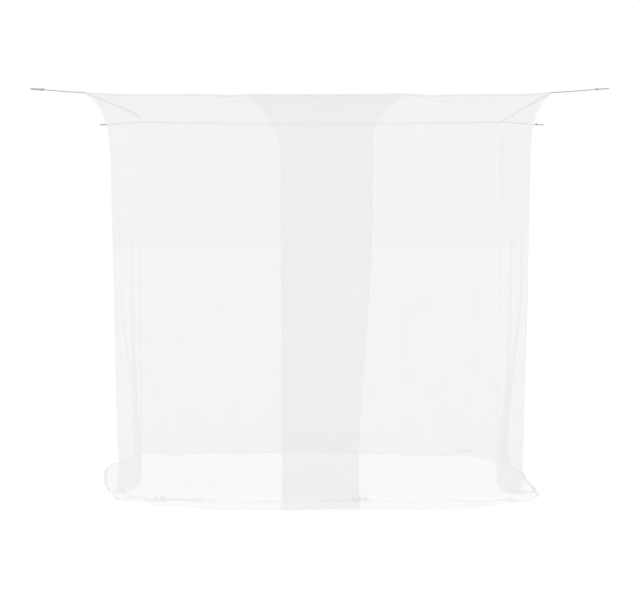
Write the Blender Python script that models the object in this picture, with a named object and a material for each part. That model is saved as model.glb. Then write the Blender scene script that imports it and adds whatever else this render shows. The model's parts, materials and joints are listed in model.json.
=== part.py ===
"""A box-shaped mosquito net canopy, hung by a cord at each top corner, with its hem lying on the floor.

Metres, +Z up. The front faces -Y. The origin is on the floor, under the middle of the cloth.

The walls are one ring of net: at every height the ring is a rounded quadrilateral between four corner
seams, drawn in below the taut tips, with soft folds added, and at the floor it turns over onto the hem.
Front panels, side walls and back wall are stretches of that ring, each its own solid.
"""

import math

import bmesh
import bpy
from mathutils import Vector

# --- Cloth ---
CLOTH = 0.0012  # thickness of the net, as one solid sheet
GAP = 0.0003  # clearance between pieces that are sewn together
LAYER_TOP = 0.0018  # the front right panel's middle stands this far in front of the left one's, at the seam
LAYER = 0.0045  # and this far below it
LAYER_EASE = 0.06  # share of the wall's height over which the two front layers part
LAYER_FADE = 0.40  # share of the outer panel beyond the overlap over which it comes back into line

# --- Heights ---
TOP = 1.921  # middle of the binding at the four tips
KNEE = 0.13  # height at which the walls start to turn onto the floor
KNEE_RADIUS = 0.05  # radius of that turn
HEM_STANDS = 0.06  # a hem that runs out less than this far doesn't lie flat, but ends hanging

# --- Corners: where each seam is at the tip, below the neck, and at the floor ---
CORNERS = {
    # name: (tip x, tip y, neck x, neck y, foot x, foot y, radius of the corner, its radius at the foot)
    "front_left": (-1.074, -0.830, -0.967, -0.775, -0.935, -0.790, 0.050, 0.050),
    "front_right": (1.110, -0.830, 1.022, -0.775, 1.000, -0.790, 0.050, 0.060),
    "back_right": (1.075, 1.170, 1.068, 1.095, 1.050, 1.070, 0.160, 0.120),
    "back_left": (-1.035, 1.170, -1.026, 1.095, -1.016, 1.080, 0.060, 0.060),
}
NECK = 0.076  # the seams run in towards the neck over about this height
ROUNDING = 0.200  # the corners grow round over about this height
BOW_FADE = 0.130  # a wall hangs clear of its top edge's bow over about this height
TAPER_CURVE = 1.5  # power of the curve by which the seams run to their feet
TOP_CURVE = 2.2  # power of the curve of a top edge's bow and of its sag

# --- Walls, in the order of the ring, which runs anticlockwise seen from above ---
WALLS = {
    # name: (first corner, last corner, bow of the top edge, where the bow is deepest, sag of the top edge)
    "front": ("front_left", "front_right", 0.050, 0.50, 0.000),
    "right": ("front_right", "back_right", 0.022, 0.35, 0.012),
    "back": ("back_right", "back_left", 0.030, 0.50, 0.010),
    "left": ("back_left", "front_left", 0.080, 0.40, 0.014),
}

# How far the front's top edge hangs below its tips, at places along it: it stands up at the flaps' edges.
FRONT_EDGE = (
    # (along, drop)
    (0.000, 0.0000),
    (0.030, 0.0055),
    (0.080, 0.0090),
    (0.180, 0.0092),
    (0.246, 0.0050),
    (0.310, 0.0105),
    (0.365, 0.0050),
    (0.420, 0.0066),
    (0.580, 0.0066),
    (0.675, 0.0030),
    (0.740, 0.0115),
    (0.800, 0.0090),
    (0.930, 0.0090),
    (0.975, 0.0050),
    (1.000, 0.0000),
)

# Each row is a soft fold that hangs in a wall. along is its place, 0 to 1 from the wall's first seam, and
# drift is how far that place moves by the floor. Positive depth stands outwards. It fades in from the
# height share start (0 at the top) and is full at the share full.
FOLDS = {
    # wall: (along, drift, width, depth, start, full)
    "front": (
        (0.075, -0.010, 0.040, 0.030, 0.45, 0.90),
        (0.200, 0.010, 0.070, -0.014, 0.10, 0.55),
        (0.340, 0.015, 0.060, 0.011, 0.05, 0.50),
        (0.480, 0.000, 0.080, -0.010, 0.15, 0.70),
        (0.660, -0.015, 0.060, 0.012, 0.05, 0.50),
        (0.790, 0.010, 0.060, -0.016, 0.10, 0.60),
        (0.920, 0.010, 0.045, 0.014, 0.20, 0.80),
    ),
    "right": (
        (0.120, 0.000, 0.280, -0.100, 0.50, 1.00),
        (0.140, 0.010, 0.065, -0.018, 0.08, 0.50),
        (0.300, 0.000, 0.070, 0.018, 0.05, 0.60),
        (0.470, 0.020, 0.070, -0.020, 0.10, 0.60),
        (0.640, -0.010, 0.075, 0.016, 0.05, 0.50),
        (0.820, 0.000, 0.070, -0.022, 0.04, 0.40),
    ),
    "back": (
        (0.090, -0.020, 0.050, -0.045, 0.02, 0.25),
        (0.190, -0.010, 0.050, 0.024, 0.05, 0.40),
        (0.360, 0.010, 0.070, -0.013, 0.10, 0.55),
        (0.540, 0.000, 0.080, 0.011, 0.10, 0.60),
        (0.720, 0.015, 0.070, -0.014, 0.05, 0.50),
        (0.880, 0.000, 0.055, 0.012, 0.10, 0.60),
    ),
    "left": (
        (0.130, 0.000, 0.060, -0.016, 0.06, 0.50),
        (0.290, -0.015, 0.070, 0.018, 0.05, 0.60),
        (0.460, 0.000, 0.075, -0.019, 0.08, 0.50),
        (0.630, 0.015, 0.070, 0.017, 0.10, 0.60),
        (0.720, 0.000, 0.220, -0.085, 0.50, 1.00),
        (0.830, 0.010, 0.065, -0.018, 0.15, 0.70),
    ),
}
SEAM_REACH = 0.10  # folds die out this share of a wall's width from a seam

# Each row gives how far the hem lies from the line of the wall's foot, at a place along that wall.
HEM = {
    # wall: (along, out in x, out in y)
    "front": (
        (0.00, -0.010, -0.010),
        (0.045, 0.000, -0.125),
        (0.095, 0.000, -0.195),
        (0.19, 0.000, -0.232),
        (0.24, 0.000, -0.303),
        (0.40, 0.000, -0.303),
        (0.60, 0.000, -0.285),
        (0.67, 0.000, -0.308),
        (0.76, 0.000, -0.290),
        (0.85, 0.000, -0.258),
        (0.905, 0.000, -0.215),
        (0.96, 0.010, -0.110),
    ),
    "right": (
        (0.00, 0.030, -0.050),
        (0.05, 0.078, 0.000),
        (0.20, 0.078, 0.000),
        (0.38, 0.068, 0.000),
        (0.50, 0.074, 0.000),
        (0.66, 0.000, -0.010),
        (0.80, -0.080, -0.100),
        (0.92, -0.125, -0.180),
    ),
    "back": (
        (0.00, -0.120, -0.220),
        (0.12, -0.050, -0.240),
        (0.34, 0.000, -0.170),
        (0.55, 0.000, -0.085),
        (0.68, 0.000, -0.135),
        (0.80, 0.000, -0.170),
        (0.92, 0.000, -0.215),
    ),
    "left": (
        (0.00, 0.015, -0.110),
        (0.08, -0.014, -0.030),
        (0.15, -0.020, 0.000),
        (0.25, -0.085, 0.000),
        (0.34, -0.128, 0.000),
        (0.45, -0.146, 0.000),
        (0.62, -0.125, 0.000),
        (0.73, -0.104, 0.000),
        (0.84, -0.072, 0.000),
        (0.94, -0.031, 0.000),
    ),
}
OUTER_REACH = 0.20  # the front right panel's hem runs this share further out than the left one's
OUTER_FROM = 0.60  # places along the front between which that ends
OUTER_TO = 0.70

RIPPLE_FULL = 0.5  # share of the lying cloth, from the knee, at which the ripples reach their height
RIPPLE_AT_HEM = 0.3  # share of their height that is left at the hem

# Each row is a ripple of the hem: how high it stands off the floor, and how wide it is along the wall.
RIPPLES = {
    # wall: (along, width, lift)
    "front": ((0.05, 0.030, 0.024), (0.14, 0.030, 0.016), (0.52, 0.030, 0.004), (0.93, 0.030, 0.012)),
    "right": ((0.06, 0.030, 0.026), (0.20, 0.035, 0.018), (0.42, 0.030, 0.010), (0.88, 0.040, 0.014)),
    "back": ((0.06, 0.030, 0.016), (0.30, 0.040, 0.008), (0.80, 0.030, 0.012)),
    "left": ((0.35, 0.030, 0.010), (0.60, 0.035, 0.008), (0.92, 0.030, 0.020)),
}

# --- The front's opening: each panel's free edge ---
# Each row: x at the top, below the neck and at the floor, the share of the height over which the edge
# runs in, and the share below which it slants to its place on the floor.
RIGHT_PANEL_EDGE = (-0.310, -0.158, -0.152, 0.16, 0.30)
LEFT_PANEL_EDGE = (0.425, 0.276, 0.212, 0.11, 0.32)
EDGE_CURVE = 2.1  # power of the curve by which a free edge runs in below the top

# --- Roof and binding ---
ROOF_SAG = 0.055  # below its edges, in the middle
ROOF_CURVE = 2.5  # power of the curve of that sag
ROOF_LIFT = 0.002  # the roof meets the binding this far above its middle
BINDING_HEIGHT = 0.008
BINDING_WIDTH = 0.004
TIP_CUT = 0.0004  # how far back from the tip the binding's end is cut square to the cord

# --- Corner cords ---
CORD = 0.005  # diameter
CORD_STEP = 0.0125  # between points of the cord's line
CORD_ENDS = {
    # corner: (x, y, height above the tip) of the cord's end, where its loop is knotted on
    "front_left": (-1.243, -0.962, 0.003),
    "front_right": (1.291, -0.971, 0.003),
    "back_right": (1.304, 1.348, -0.002),
    "back_left": (-1.245, 1.347, -0.002),
}
CORD_SAG = 0.001
KNOT = (0.008, 0.0075, 0.006)  # half sizes of the knot, along the cord, across it and up
LOOP_LENGTH = 0.060  # from the knot's middle to the loop's far end
LOOP_WIDTH = 0.016  # between the loop's middle lines, where it is widest
LOOP_TILT = math.radians(10)  # the loop hangs turned this far out of level
LOOP_SWEEP = math.radians(150)  # half of the loop's turn; its two legs end inside the knot
LOOP_POINTS = 18
CORD_SIDES = 8
KNOT_FLAT = 0.7  # where the knot's near end is cut flat, as a share of its half length

# --- Fineness of the solids ---
FRONT_COLUMNS = (8, 7, 7)  # left of the overlap, in it, and right of it
SIDE_COLUMNS = 15
WALL_ROWS = (0.0, 0.012, 0.03, 0.06, 0.10, 0.16, 0.26, 0.40, 0.55, 0.70, 0.85, 1.0)
FOOT_ROWS = (0.22, 0.32, 0.42, 0.55, 0.78, 1.0)  # shares of the way from the knee to the hem
KNEE_START = 0.16
KNEE_END = 0.42

MITRE_LEAST = 0.6  # least cosine by which a sheet's corner is mitred
SHARP = math.radians(50)  # faces that meet at more than this show an edge

SHEER_WHITE = (0.86, 0.88, 0.90)
TAPE_WHITE = (0.78, 0.79, 0.80)
CORD_WHITE = (0.72, 0.72, 0.70)


# --- Small helpers ---
def smooth(share):
    """0 below 0, 1 above 1, with a soft start and end between them."""
    share = min(max(share, 0.0), 1.0)
    return share * share * (3 - 2 * share)


def bell(distance, width):
    return math.exp(-((distance / width) ** 2))


def between(a, b, share):
    return a + (b - a) * share


def eased(rows, place):
    """The values at a place between rows of (place, value, ...), with a soft start and end in each step."""
    for low, high in zip(rows, rows[1:]):
        if place <= high[0]:
            share = smooth((place - low[0]) / (high[0] - low[0]))
            return [between(a, b, share) for a, b in zip(low[1:], high[1:])]
    return list(rows[-1][1:])


def edge_x(edge, share):
    """x of a front panel's free edge, at a share of the way down."""
    top, below, foot, neck, slant = edge
    drawn_in = (1 - min(share / neck, 1.0)) ** EDGE_CURVE
    return between(below, foot, smooth((share - slant) / (1 - slant))) + (top - below) * drawn_in


# --- The ring of net ---
def corner(name, share):
    """(point in plan, radius) of a corner of the ring at a share of the way down."""
    tip_x, tip_y, neck_x, neck_y, foot_x, foot_y, radius, foot_radius = CORNERS[name]
    drop = share * (TOP - KNEE)
    taut = math.exp(-drop / NECK)
    taper = share**TAPER_CURVE
    x = between(between(neck_x, foot_x, taper), tip_x, taut)
    y = between(between(neck_y, foot_y, taper), tip_y, taut)
    return Vector((x, y)), between(radius, foot_radius, taper) * (1 - math.exp(-drop / ROUNDING))


def turn_at(name, share):
    """The angle through which the ring turns at a corner."""
    names = list(CORNERS)
    k = names.index(name)
    before = corner(names[k - 1], share)[0]
    here = corner(name, share)[0]
    after = corner(names[(k + 1) % len(names)], share)[0]
    return (here - before).angle(after - here)


def on_wall(wall, along, share):
    """(point in plan, direction outwards) of the smooth ring, at a place along a wall."""
    first, last = WALLS[wall][:2]
    start, start_radius = corner(first, share)
    end, end_radius = corner(last, share)
    way = (end - start).normalized()
    out = Vector((way.y, -way.x))
    arcs = []
    for name, radius in ((first, start_radius), (last, end_radius)):
        half = turn_at(name, share) / 2
        arcs.append((radius, half, radius * math.tan(half), radius * half))
    straight = (end - start).length - arcs[0][2] - arcs[1][2]
    total = arcs[0][3] + straight + arcs[1][3]
    run = along * total
    if run < arcs[0][3]:
        radius, half, trim, length = arcs[0]
        angle = (length - run) / radius
        centre = start + way * trim - out * radius
        out_here = out * math.cos(angle) - way * math.sin(angle)
        return centre + out_here * radius, out_here
    if run > arcs[0][3] + straight:
        radius, half, trim, length = arcs[1]
        angle = (run - arcs[0][3] - straight) / radius
        centre = end - way * trim - out * radius
        out_here = out * math.cos(angle) + way * math.sin(angle)
        return centre + out_here * radius, out_here
    return start + way * (arcs[0][2] + run - arcs[0][3]), out


def bow(wall, along):
    """How far in the wall's top edge lies from the line between its tips, from 0 at a tip."""
    _, _, depth, place, _ = WALLS[wall]
    if along < place:
        side = (place - along) / place
    else:
        side = (along - place) / (1 - place)
    return depth * (1 - side**TOP_CURVE)


def folds(wall, along, share):
    near_seam = smooth(along / SEAM_REACH) * smooth((1 - along) / SEAM_REACH)
    total = 0.0
    for place, drift, width, depth, start, full in FOLDS[wall]:
        fade = smooth((share - start) / (full - start))
        total += depth * fade * bell(along - place - drift * share, width)
    return total * near_seam


def top_height(wall, along):
    """Height of the middle of the binding."""
    if wall == "front":
        return TOP - eased(FRONT_EDGE, along)[0]
    return TOP - WALLS[wall][4] * (1 - abs(2 * along - 1) ** TOP_CURVE)


def hem_reach(wall, along):
    """How far the hem lies from the line of the wall's foot, in plan."""
    names = list(WALLS)
    after = HEM[names[(names.index(wall) + 1) % len(names)]][0]
    return Vector(eased(list(HEM[wall]) + [(1.0, *after[1:])], along))


def ripples(wall, along):
    return sum(lift * bell(along - place, width) for place, width, lift in RIPPLES[wall])


def net_point(wall, along, down, outer=False):
    """A point of the net's middle surface. down runs from 0 at the binding to 1 at the knee, and to 2 at the hem."""
    share = min(down, 1.0)
    plan, out = on_wall(wall, along, share)
    drop = share * (TOP - KNEE)
    inwards = bow(wall, along) * math.exp(-drop / BOW_FADE)
    plan = plan + out * (folds(wall, along, share) - inwards)
    top = top_height(wall, along) - BINDING_HEIGHT / 2 - GAP
    if down <= 1.0:
        return Vector((plan.x, plan.y, between(top, KNEE, share)))
    foot = down - 1.0
    reach = on_wall(wall, along, 1.0)[0] + hem_reach(wall, along) - plan
    if outer:
        further = OUTER_REACH * smooth((OUTER_TO - along) / (OUTER_TO - OUTER_FROM))
        reach = reach * (1 + further * smooth((foot - KNEE_END) / (1 - KNEE_END)))
    run = max(reach.length, 1e-6)
    lies = smooth(run / HEM_STANDS)
    radius = min(KNEE_RADIUS, run / 2)
    if foot < KNEE_START:
        moved, height = 0.0, between(KNEE, radius, foot / KNEE_START)
    elif foot < KNEE_END:
        angle = math.pi / 2 * (foot - KNEE_START) / (KNEE_END - KNEE_START)
        moved, height = radius * (1 - math.cos(angle)), radius * (1 - math.sin(angle))
    else:
        moved, height = between(radius, run, (foot - KNEE_END) / (1 - KNEE_END)), 0.0
    moved = between(run * foot, moved, lies)
    height = between(KNEE * (1 - foot), height, lies)
    crest = KNEE_END + RIPPLE_FULL * (1 - KNEE_END)
    rise = smooth((foot - KNEE_START) / (crest - KNEE_START))
    left = between(1.0, RIPPLE_AT_HEM, smooth((foot - crest) / (1 - crest)))
    lift = ripples(wall, along) * rise * left * lies
    plan = plan + reach / run * moved
    return Vector((plan.x, plan.y, CLOTH / 2 + height + lift))


def front_places(share):
    """Places along the front, at a share of the way down, with the two free edges among them."""
    left, right = corner("front_left", share)[0].x, corner("front_right", share)[0].x
    stops = [0.0]
    for edge in (RIGHT_PANEL_EDGE, LEFT_PANEL_EDGE):
        stops.append((edge_x(edge, share) - left) / (right - left))
    stops.append(1.0)
    places = []
    for low, high, columns in zip(stops, stops[1:], FRONT_COLUMNS):
        places += [between(low, high, i / columns) for i in range(columns)]
    return places + [1.0]


def wall_places(wall, share):
    """Places of a wall's columns. The back has the columns of the front's top edge, so that the roof fits both."""
    if wall == "front":
        return front_places(share)
    if wall == "back":
        return [1 - place for place in reversed(front_places(0.0))]
    return [i / SIDE_COLUMNS for i in range(SIDE_COLUMNS + 1)]


def ring(outer):
    """Rows of points all round the net, and for each wall its first station in a row."""
    starts, rows = {}, []
    for down in list(WALL_ROWS) + [1 + foot for foot in FOOT_ROWS]:
        row = []
        for wall in WALLS:
            starts[wall] = len(row)
            for along in wall_places(wall, min(down, 1.0))[:-1]:
                row.append(net_point(wall, along, down, outer))
        rows.append(row)
    return rows, starts


def ring_normals(rows):
    """(outward direction, mitre, direction along the ring) of every point. At the top the first is level."""
    normals = []
    for j, row in enumerate(rows):
        above, below = rows[max(j - 1, 0)], rows[min(j + 1, len(rows) - 1)]
        found = []
        for k, point in enumerate(row):
            back, ahead = row[k - 1], row[(k + 1) % len(row)]
            normal = (ahead - back).cross(above[k] - below[k])
            if j == 0:
                normal.z = 0.0
            normal.normalize()
            turn = (point - back).angle(ahead - point, 0.0)
            found.append((normal, 1 / max(math.cos(turn / 2), MITRE_LEAST), (ahead - back).normalized()))
        normals.append(found)
    return normals


# --- Making objects ---
def clear_scene():
    for thing in list(bpy.data.objects):
        bpy.data.objects.remove(thing, do_unlink=True)


def material(name, colour, roughness, alpha=1.0):
    made = bpy.data.materials.new(name)
    made.use_nodes = True
    shader = made.node_tree.nodes["Principled BSDF"]
    shader.inputs["Base Color"].default_value = (*colour, 1.0)
    shader.inputs["Roughness"].default_value = roughness
    shader.inputs["Metallic"].default_value = 0.0
    shader.inputs["Alpha"].default_value = alpha
    made.diffuse_color = (*colour, alpha)
    return made


def add_object(name, data, finish):
    made = bpy.data.objects.new(name, data)
    bpy.context.scene.collection.objects.link(made)
    data.materials.append(finish)
    return made


def mesh_object(name, vertices, faces, finish):
    mesh = bpy.data.meshes.new(name)
    mesh.from_pydata([tuple(v) for v in vertices], [], faces)
    shaped = bmesh.new()
    shaped.from_mesh(mesh)
    bmesh.ops.recalc_face_normals(shaped, faces=shaped.faces)
    shaped.to_mesh(mesh)
    shaped.free()
    mesh.shade_smooth()
    mesh.set_sharp_from_angle(angle=SHARP)
    return add_object(name, mesh, finish)


def sheet_object(name, outside, inside, finish):
    """A closed sheet between two grids of points, rows of equal length."""
    rows, columns = len(outside), len(outside[0])
    vertices = [point for row in outside for point in row] + [point for row in inside for point in row]
    under = rows * columns
    faces = []
    for j in range(rows - 1):
        for i in range(columns - 1):
            a = j * columns + i
            b, c, d = a + 1, a + columns + 1, a + columns
            # Both faces are split the same way, so that the cloth keeps its thickness where it twists.
            for triangle in ((a, b, c), (a, c, d)):
                faces.append(triangle)
                faces.append(tuple(under + k for k in reversed(triangle)))
    rim = [i for i in range(columns)]
    rim += [j * columns + columns - 1 for j in range(1, rows)]
    rim += [(rows - 1) * columns + i for i in range(columns - 2, -1, -1)]
    rim += [j * columns for j in range(rows - 2, 0, -1)]
    for a, b in zip(rim, rim[1:] + rim[:1]):
        faces.append((b, a, under + a, under + b))
    return mesh_object(name, vertices, faces, finish)


def panel(name, rows, normals, first, count, finish, layered=False):
    """The stretch of the ring from station first, count columns wide, as a sheet."""
    outside, inside = [], []
    heights = list(WALL_ROWS) + [1 + foot for foot in FOOT_ROWS]
    for down, row, directions in zip(heights, rows, normals):
        out_row, in_row = [], []
        for i in range(count + 1):
            k = (first + i) % len(row)
            normal, mitre, way = directions[k]
            middle = row[k].copy()
            if layered:
                middle += normal * layer_offset(i, down)
            if i == 0:
                middle += way * (GAP / 2)
            if i == count:
                middle -= way * (GAP / 2)
            half = normal * (CLOTH / 2 * mitre)
            for grid_row, point in ((out_row, middle + half), (in_row, middle - half)):
                point.z = max(point.z, 0.0)
                grid_row.append(point)
        outside.append(out_row)
        inside.append(in_row)
    return sheet_object(name, outside, inside, finish)


def layer_offset(column, down):
    """How far the front right panel stands in front of the left one's surface, counting columns from its free edge."""
    beyond = max(column - FRONT_COLUMNS[1], 0) / FRONT_COLUMNS[2]
    return between(LAYER_TOP, LAYER, smooth(down / LAYER_EASE)) * (1 - smooth(beyond / LAYER_FADE))


# --- The top edge: roof, binding and cords ---
def top_line():
    """The binding's middle line, all round: points, level directions outwards, mitres and directions along."""
    points = []
    for wall in WALLS:
        for along in wall_places(wall, 0.0)[:-1]:
            plan, out = on_wall(wall, along, 0.0)
            plan = plan - out * bow(wall, along)
            points.append(Vector((plan.x, plan.y, top_height(wall, along))))
    found = []
    for k, point in enumerate(points):
        back, ahead = points[k - 1], points[(k + 1) % len(points)]
        before, after = (point - back).to_2d().normalized(), (ahead - point).to_2d().normalized()
        way = (before + after).normalized()
        half_turn = before.angle(after) / 2
        found.append((point, Vector((way.y, -way.x, 0.0)), half_turn, Vector((way.x, way.y, 0.0))))
    return found


def roof(line, starts, finish):
    front, side = sum(FRONT_COLUMNS), SIDE_COLUMNS
    inset = BINDING_WIDTH / 2 + GAP
    edge = []
    for point, out, half_turn, _ in line:
        edge.append(point - out * (inset / math.cos(half_turn)) + Vector((0.0, 0.0, ROOF_LIFT)))
    size = len(edge)
    south = [edge[starts["front"] + i] for i in range(front + 1)]
    east = [edge[starts["right"] + j] for j in range(side + 1)]
    north = [edge[(starts["back"] + front - i) % size] for i in range(front + 1)]
    west = [edge[(starts["left"] + side - j) % size] for j in range(side + 1)]
    places = front_places(0.0)
    grid = []
    for j in range(side + 1):
        v = j / side
        row = []
        for i in range(front + 1):
            u = places[i]
            across = between(west[j], east[j], u)
            deep = between(south[i], north[i], v)
            corners = between(between(south[0], south[-1], u), between(north[0], north[-1], u), v)
            point = across + deep - corners
            dip = (1 - abs(2 * u - 1) ** ROOF_CURVE) * (1 - abs(2 * v - 1) ** ROOF_CURVE)
            point.z -= ROOF_SAG * dip
            row.append(point)
        grid.append(row)
    up = Vector((0.0, 0.0, CLOTH / 2))
    above = [[point + up for point in row] for row in grid]
    below = [[point - up for point in row] for row in grid]
    return sheet_object("roof_panel", above, below, finish)


def binding(name, line, first, count, finish):
    """A tape of rectangular section along the top edge, its ends mitred and cut square to the cords."""
    sections = []
    for i in range(count + 1):
        point, out, half_turn, way = line[(first + i) % len(line)]
        if i not in (0, count):
            sections.append((point + out * (BINDING_WIDTH / 2), point - out * (BINDING_WIDTH / 2)))
            continue
        inner = point - out * (BINDING_WIDTH / 2 / math.cos(half_turn))
        # The square cut crosses the outer face TIP_CUT back from the tip.
        cut = BINDING_WIDTH / 2 * math.cos(half_turn) - TIP_CUT * math.sin(half_turn)
        sign = 1 if i == 0 else -1
        ease = way * (sign * GAP / 2)
        tip = (point + out * cut + ease, inner + ease)
        neighbour = line[(first + i + sign) % len(line)][0]
        along = neighbour - point
        along.z = 0.0
        along.normalize()
        side = Vector((along.y, -along.x, 0.0)) * sign
        outer = point + along * TIP_CUT + side * (BINDING_WIDTH / 2)
        back = (outer, inner + along * (BINDING_WIDTH / 2))
        sections += [tip, back] if i == 0 else [back, tip]
    up = Vector((0.0, 0.0, BINDING_HEIGHT / 2))
    vertices, faces = [], []
    for outer, inner in sections:
        vertices += [outer - up, outer + up, inner + up, inner - up]
    for s in range(len(sections) - 1):
        a = 4 * s
        for k in range(4):
            n = (k + 1) % 4
            faces.append((a + k, a + n, a + 4 + n, a + 4 + k))
    end = 4 * (len(sections) - 1)
    faces += [(0, 3, 2, 1), (end, end + 1, end + 2, end + 3)]
    return mesh_object(name, vertices, faces, finish)


def cord_route(name, line, starts):
    """The cord's own few points: out of the tip along its corner, then in a shallow sag to its end."""
    walls = [wall for wall in WALLS if WALLS[wall][0] == name]
    point, out, half_turn, _ = line[starts[walls[0]]]
    start = point + out * (BINDING_WIDTH / 2 * math.cos(half_turn) - TIP_CUT * math.sin(half_turn) + GAP)
    x, y, rise = CORD_ENDS[name]
    end = Vector((x, y, TOP + rise))
    route = [start, start + out * (3 * CORD)]
    for share in (0.3, 0.5, 0.7, 0.85, 1.0):
        on_line = between(route[1], end, share)
        on_line.z -= CORD_SAG * 4 * share * (1 - share)
        route.append(on_line)
    return route


def through(route, step):
    """Points about step apart on a smooth curve through the route's points."""
    ends = [2 * route[0] - route[1]] + route + [2 * route[-1] - route[-2]]
    found = [route[0]]
    for k in range(1, len(ends) - 2):
        p0, p1, p2, p3 = ends[k - 1 : k + 3]
        pieces = max(round((p2 - p1).length / step), 1)
        for i in range(1, pieces + 1):
            t = i / pieces
            found.append(
                0.5
                * (
                    2 * p1
                    + (p2 - p0) * t
                    + (2 * p0 - 5 * p1 + 4 * p2 - p3) * t**2
                    + (3 * p1 - 3 * p2 + p3 - p0) * t**3
                )
            )
    return found


def tube(name, points, finish):
    """A round cord along a line of points, with filled ends."""
    curve = bpy.data.curves.new(name, "CURVE")
    curve.dimensions = "3D"
    curve.bevel_depth = CORD / 2
    curve.bevel_resolution = 2
    curve.use_fill_caps = True
    spline = curve.splines.new("POLY")
    spline.points.add(len(points) - 1)
    for place, point in zip(spline.points, points):
        place.co = (*point, 1.0)
    spline.use_smooth = True
    return add_object(name, curve, finish)


def loop(name, end, way, finish):
    """A knot with a loop beyond it, as one solid, on the end of a cord that arrives along way, which is level."""
    level = Vector((-way.y, way.x, 0.0))
    upright = Vector((0.0, 0.0, 1.0))
    side = level * math.cos(LOOP_TILT) + upright * math.sin(LOOP_TILT)
    up = upright * math.cos(LOOP_TILT) - level * math.sin(LOOP_TILT)
    near = end + way * GAP
    centre = near + way * KNOT[0]
    middles = []
    for i in range(LOOP_POINTS + 1):
        angle = LOOP_SWEEP * (2 * i / LOOP_POINTS - 1)
        run = LOOP_LENGTH * (math.cos(angle) - math.cos(LOOP_SWEEP)) / (1 - math.cos(LOOP_SWEEP))
        middles.append(centre + way * run + side * (LOOP_WIDTH / 2 * math.sin(angle)))
    vertices, faces = [], []
    for i, middle in enumerate(middles):
        along = (middles[min(i + 1, LOOP_POINTS)] - middles[max(i - 1, 0)]).normalized()
        across = along.cross(up)
        for k in range(CORD_SIDES):
            angle = 2 * math.pi * k / CORD_SIDES
            vertices.append(middle + (across * math.cos(angle) + up * math.sin(angle)) * (CORD / 2))
            a, b, n = i * CORD_SIDES, (i + 1) * CORD_SIDES, (k + 1) % CORD_SIDES
            if i < LOOP_POINTS:
                faces.append((a + k, a + n, b + n, b + k))
    faces.append(tuple(range(CORD_SIDES)))
    faces.append(tuple(LOOP_POINTS * CORD_SIDES + k for k in reversed(range(CORD_SIDES))))
    strand = mesh_object(name, vertices, faces, finish)

    knot_mesh = bpy.data.meshes.new(name + "_knot")
    ball = bmesh.new()
    bmesh.ops.create_icosphere(ball, subdivisions=2, radius=1.0)
    for vertex in ball.verts:
        along, across, high = vertex.co
        # The near end is flat, where the cord meets it.
        along = max(along, -KNOT_FLAT) / KNOT_FLAT if along < 0 else along
        vertex.co = centre + way * (along * KNOT[0]) + side * (across * KNOT[1]) + up * (high * KNOT[2])
    bmesh.ops.recalc_face_normals(ball, faces=ball.faces)
    ball.to_mesh(knot_mesh)
    ball.free()
    knot = add_object(name + "_knot", knot_mesh, finish)
    knot.hide_render = True
    union = strand.modifiers.new("knot", "BOOLEAN")
    union.operation = "UNION"
    union.solver = "EXACT"
    union.object = knot
    return strand


def build():
    clear_scene()
    net = material("net_cloth", SHEER_WHITE, 0.9, alpha=0.5)
    tape = material("binding_tape", TAPE_WHITE, 0.85)
    cotton = material("cord_cotton", CORD_WHITE, 0.9)

    inner_rows, starts = ring(outer=False)
    inner_normals = ring_normals(inner_rows)
    outer_rows, _ = ring(outer=True)
    outer_normals = ring_normals(outer_rows)
    left, overlap, right = FRONT_COLUMNS
    front = left + overlap + right

    panel("front_left_panel", inner_rows, inner_normals, 0, left + overlap, net)
    panel("front_right_panel", outer_rows, outer_normals, left, overlap + right, net, layered=True)
    panel("right_wall", inner_rows, inner_normals, starts["right"], SIDE_COLUMNS, net)
    panel("back_wall", inner_rows, inner_normals, starts["back"], front, net)
    panel("left_wall", inner_rows, inner_normals, starts["left"], SIDE_COLUMNS, net)

    line = top_line()
    roof(line, starts, net)
    for wall in WALLS:
        columns = front if wall in ("front", "back") else SIDE_COLUMNS
        binding("binding_" + wall, line, starts[wall], columns, tape)

    for name in CORNERS:
        points = through(cord_route(name, line, starts), CORD_STEP)
        tube("tie_" + name, points, cotton)
        way = points[-1] - points[-2]
        way.z = 0.0
        loop("loop_" + name, points[-1], way.normalized(), cotton)


build()
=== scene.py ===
"""The looks of a box-shaped mosquito net canopy: sheer net in the frame's folds, tape, cords, floor, light.

Metres, in the frame's own axes: +Z up, the front faces -Y, the origin on the floor under the cloth.
"""

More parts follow.
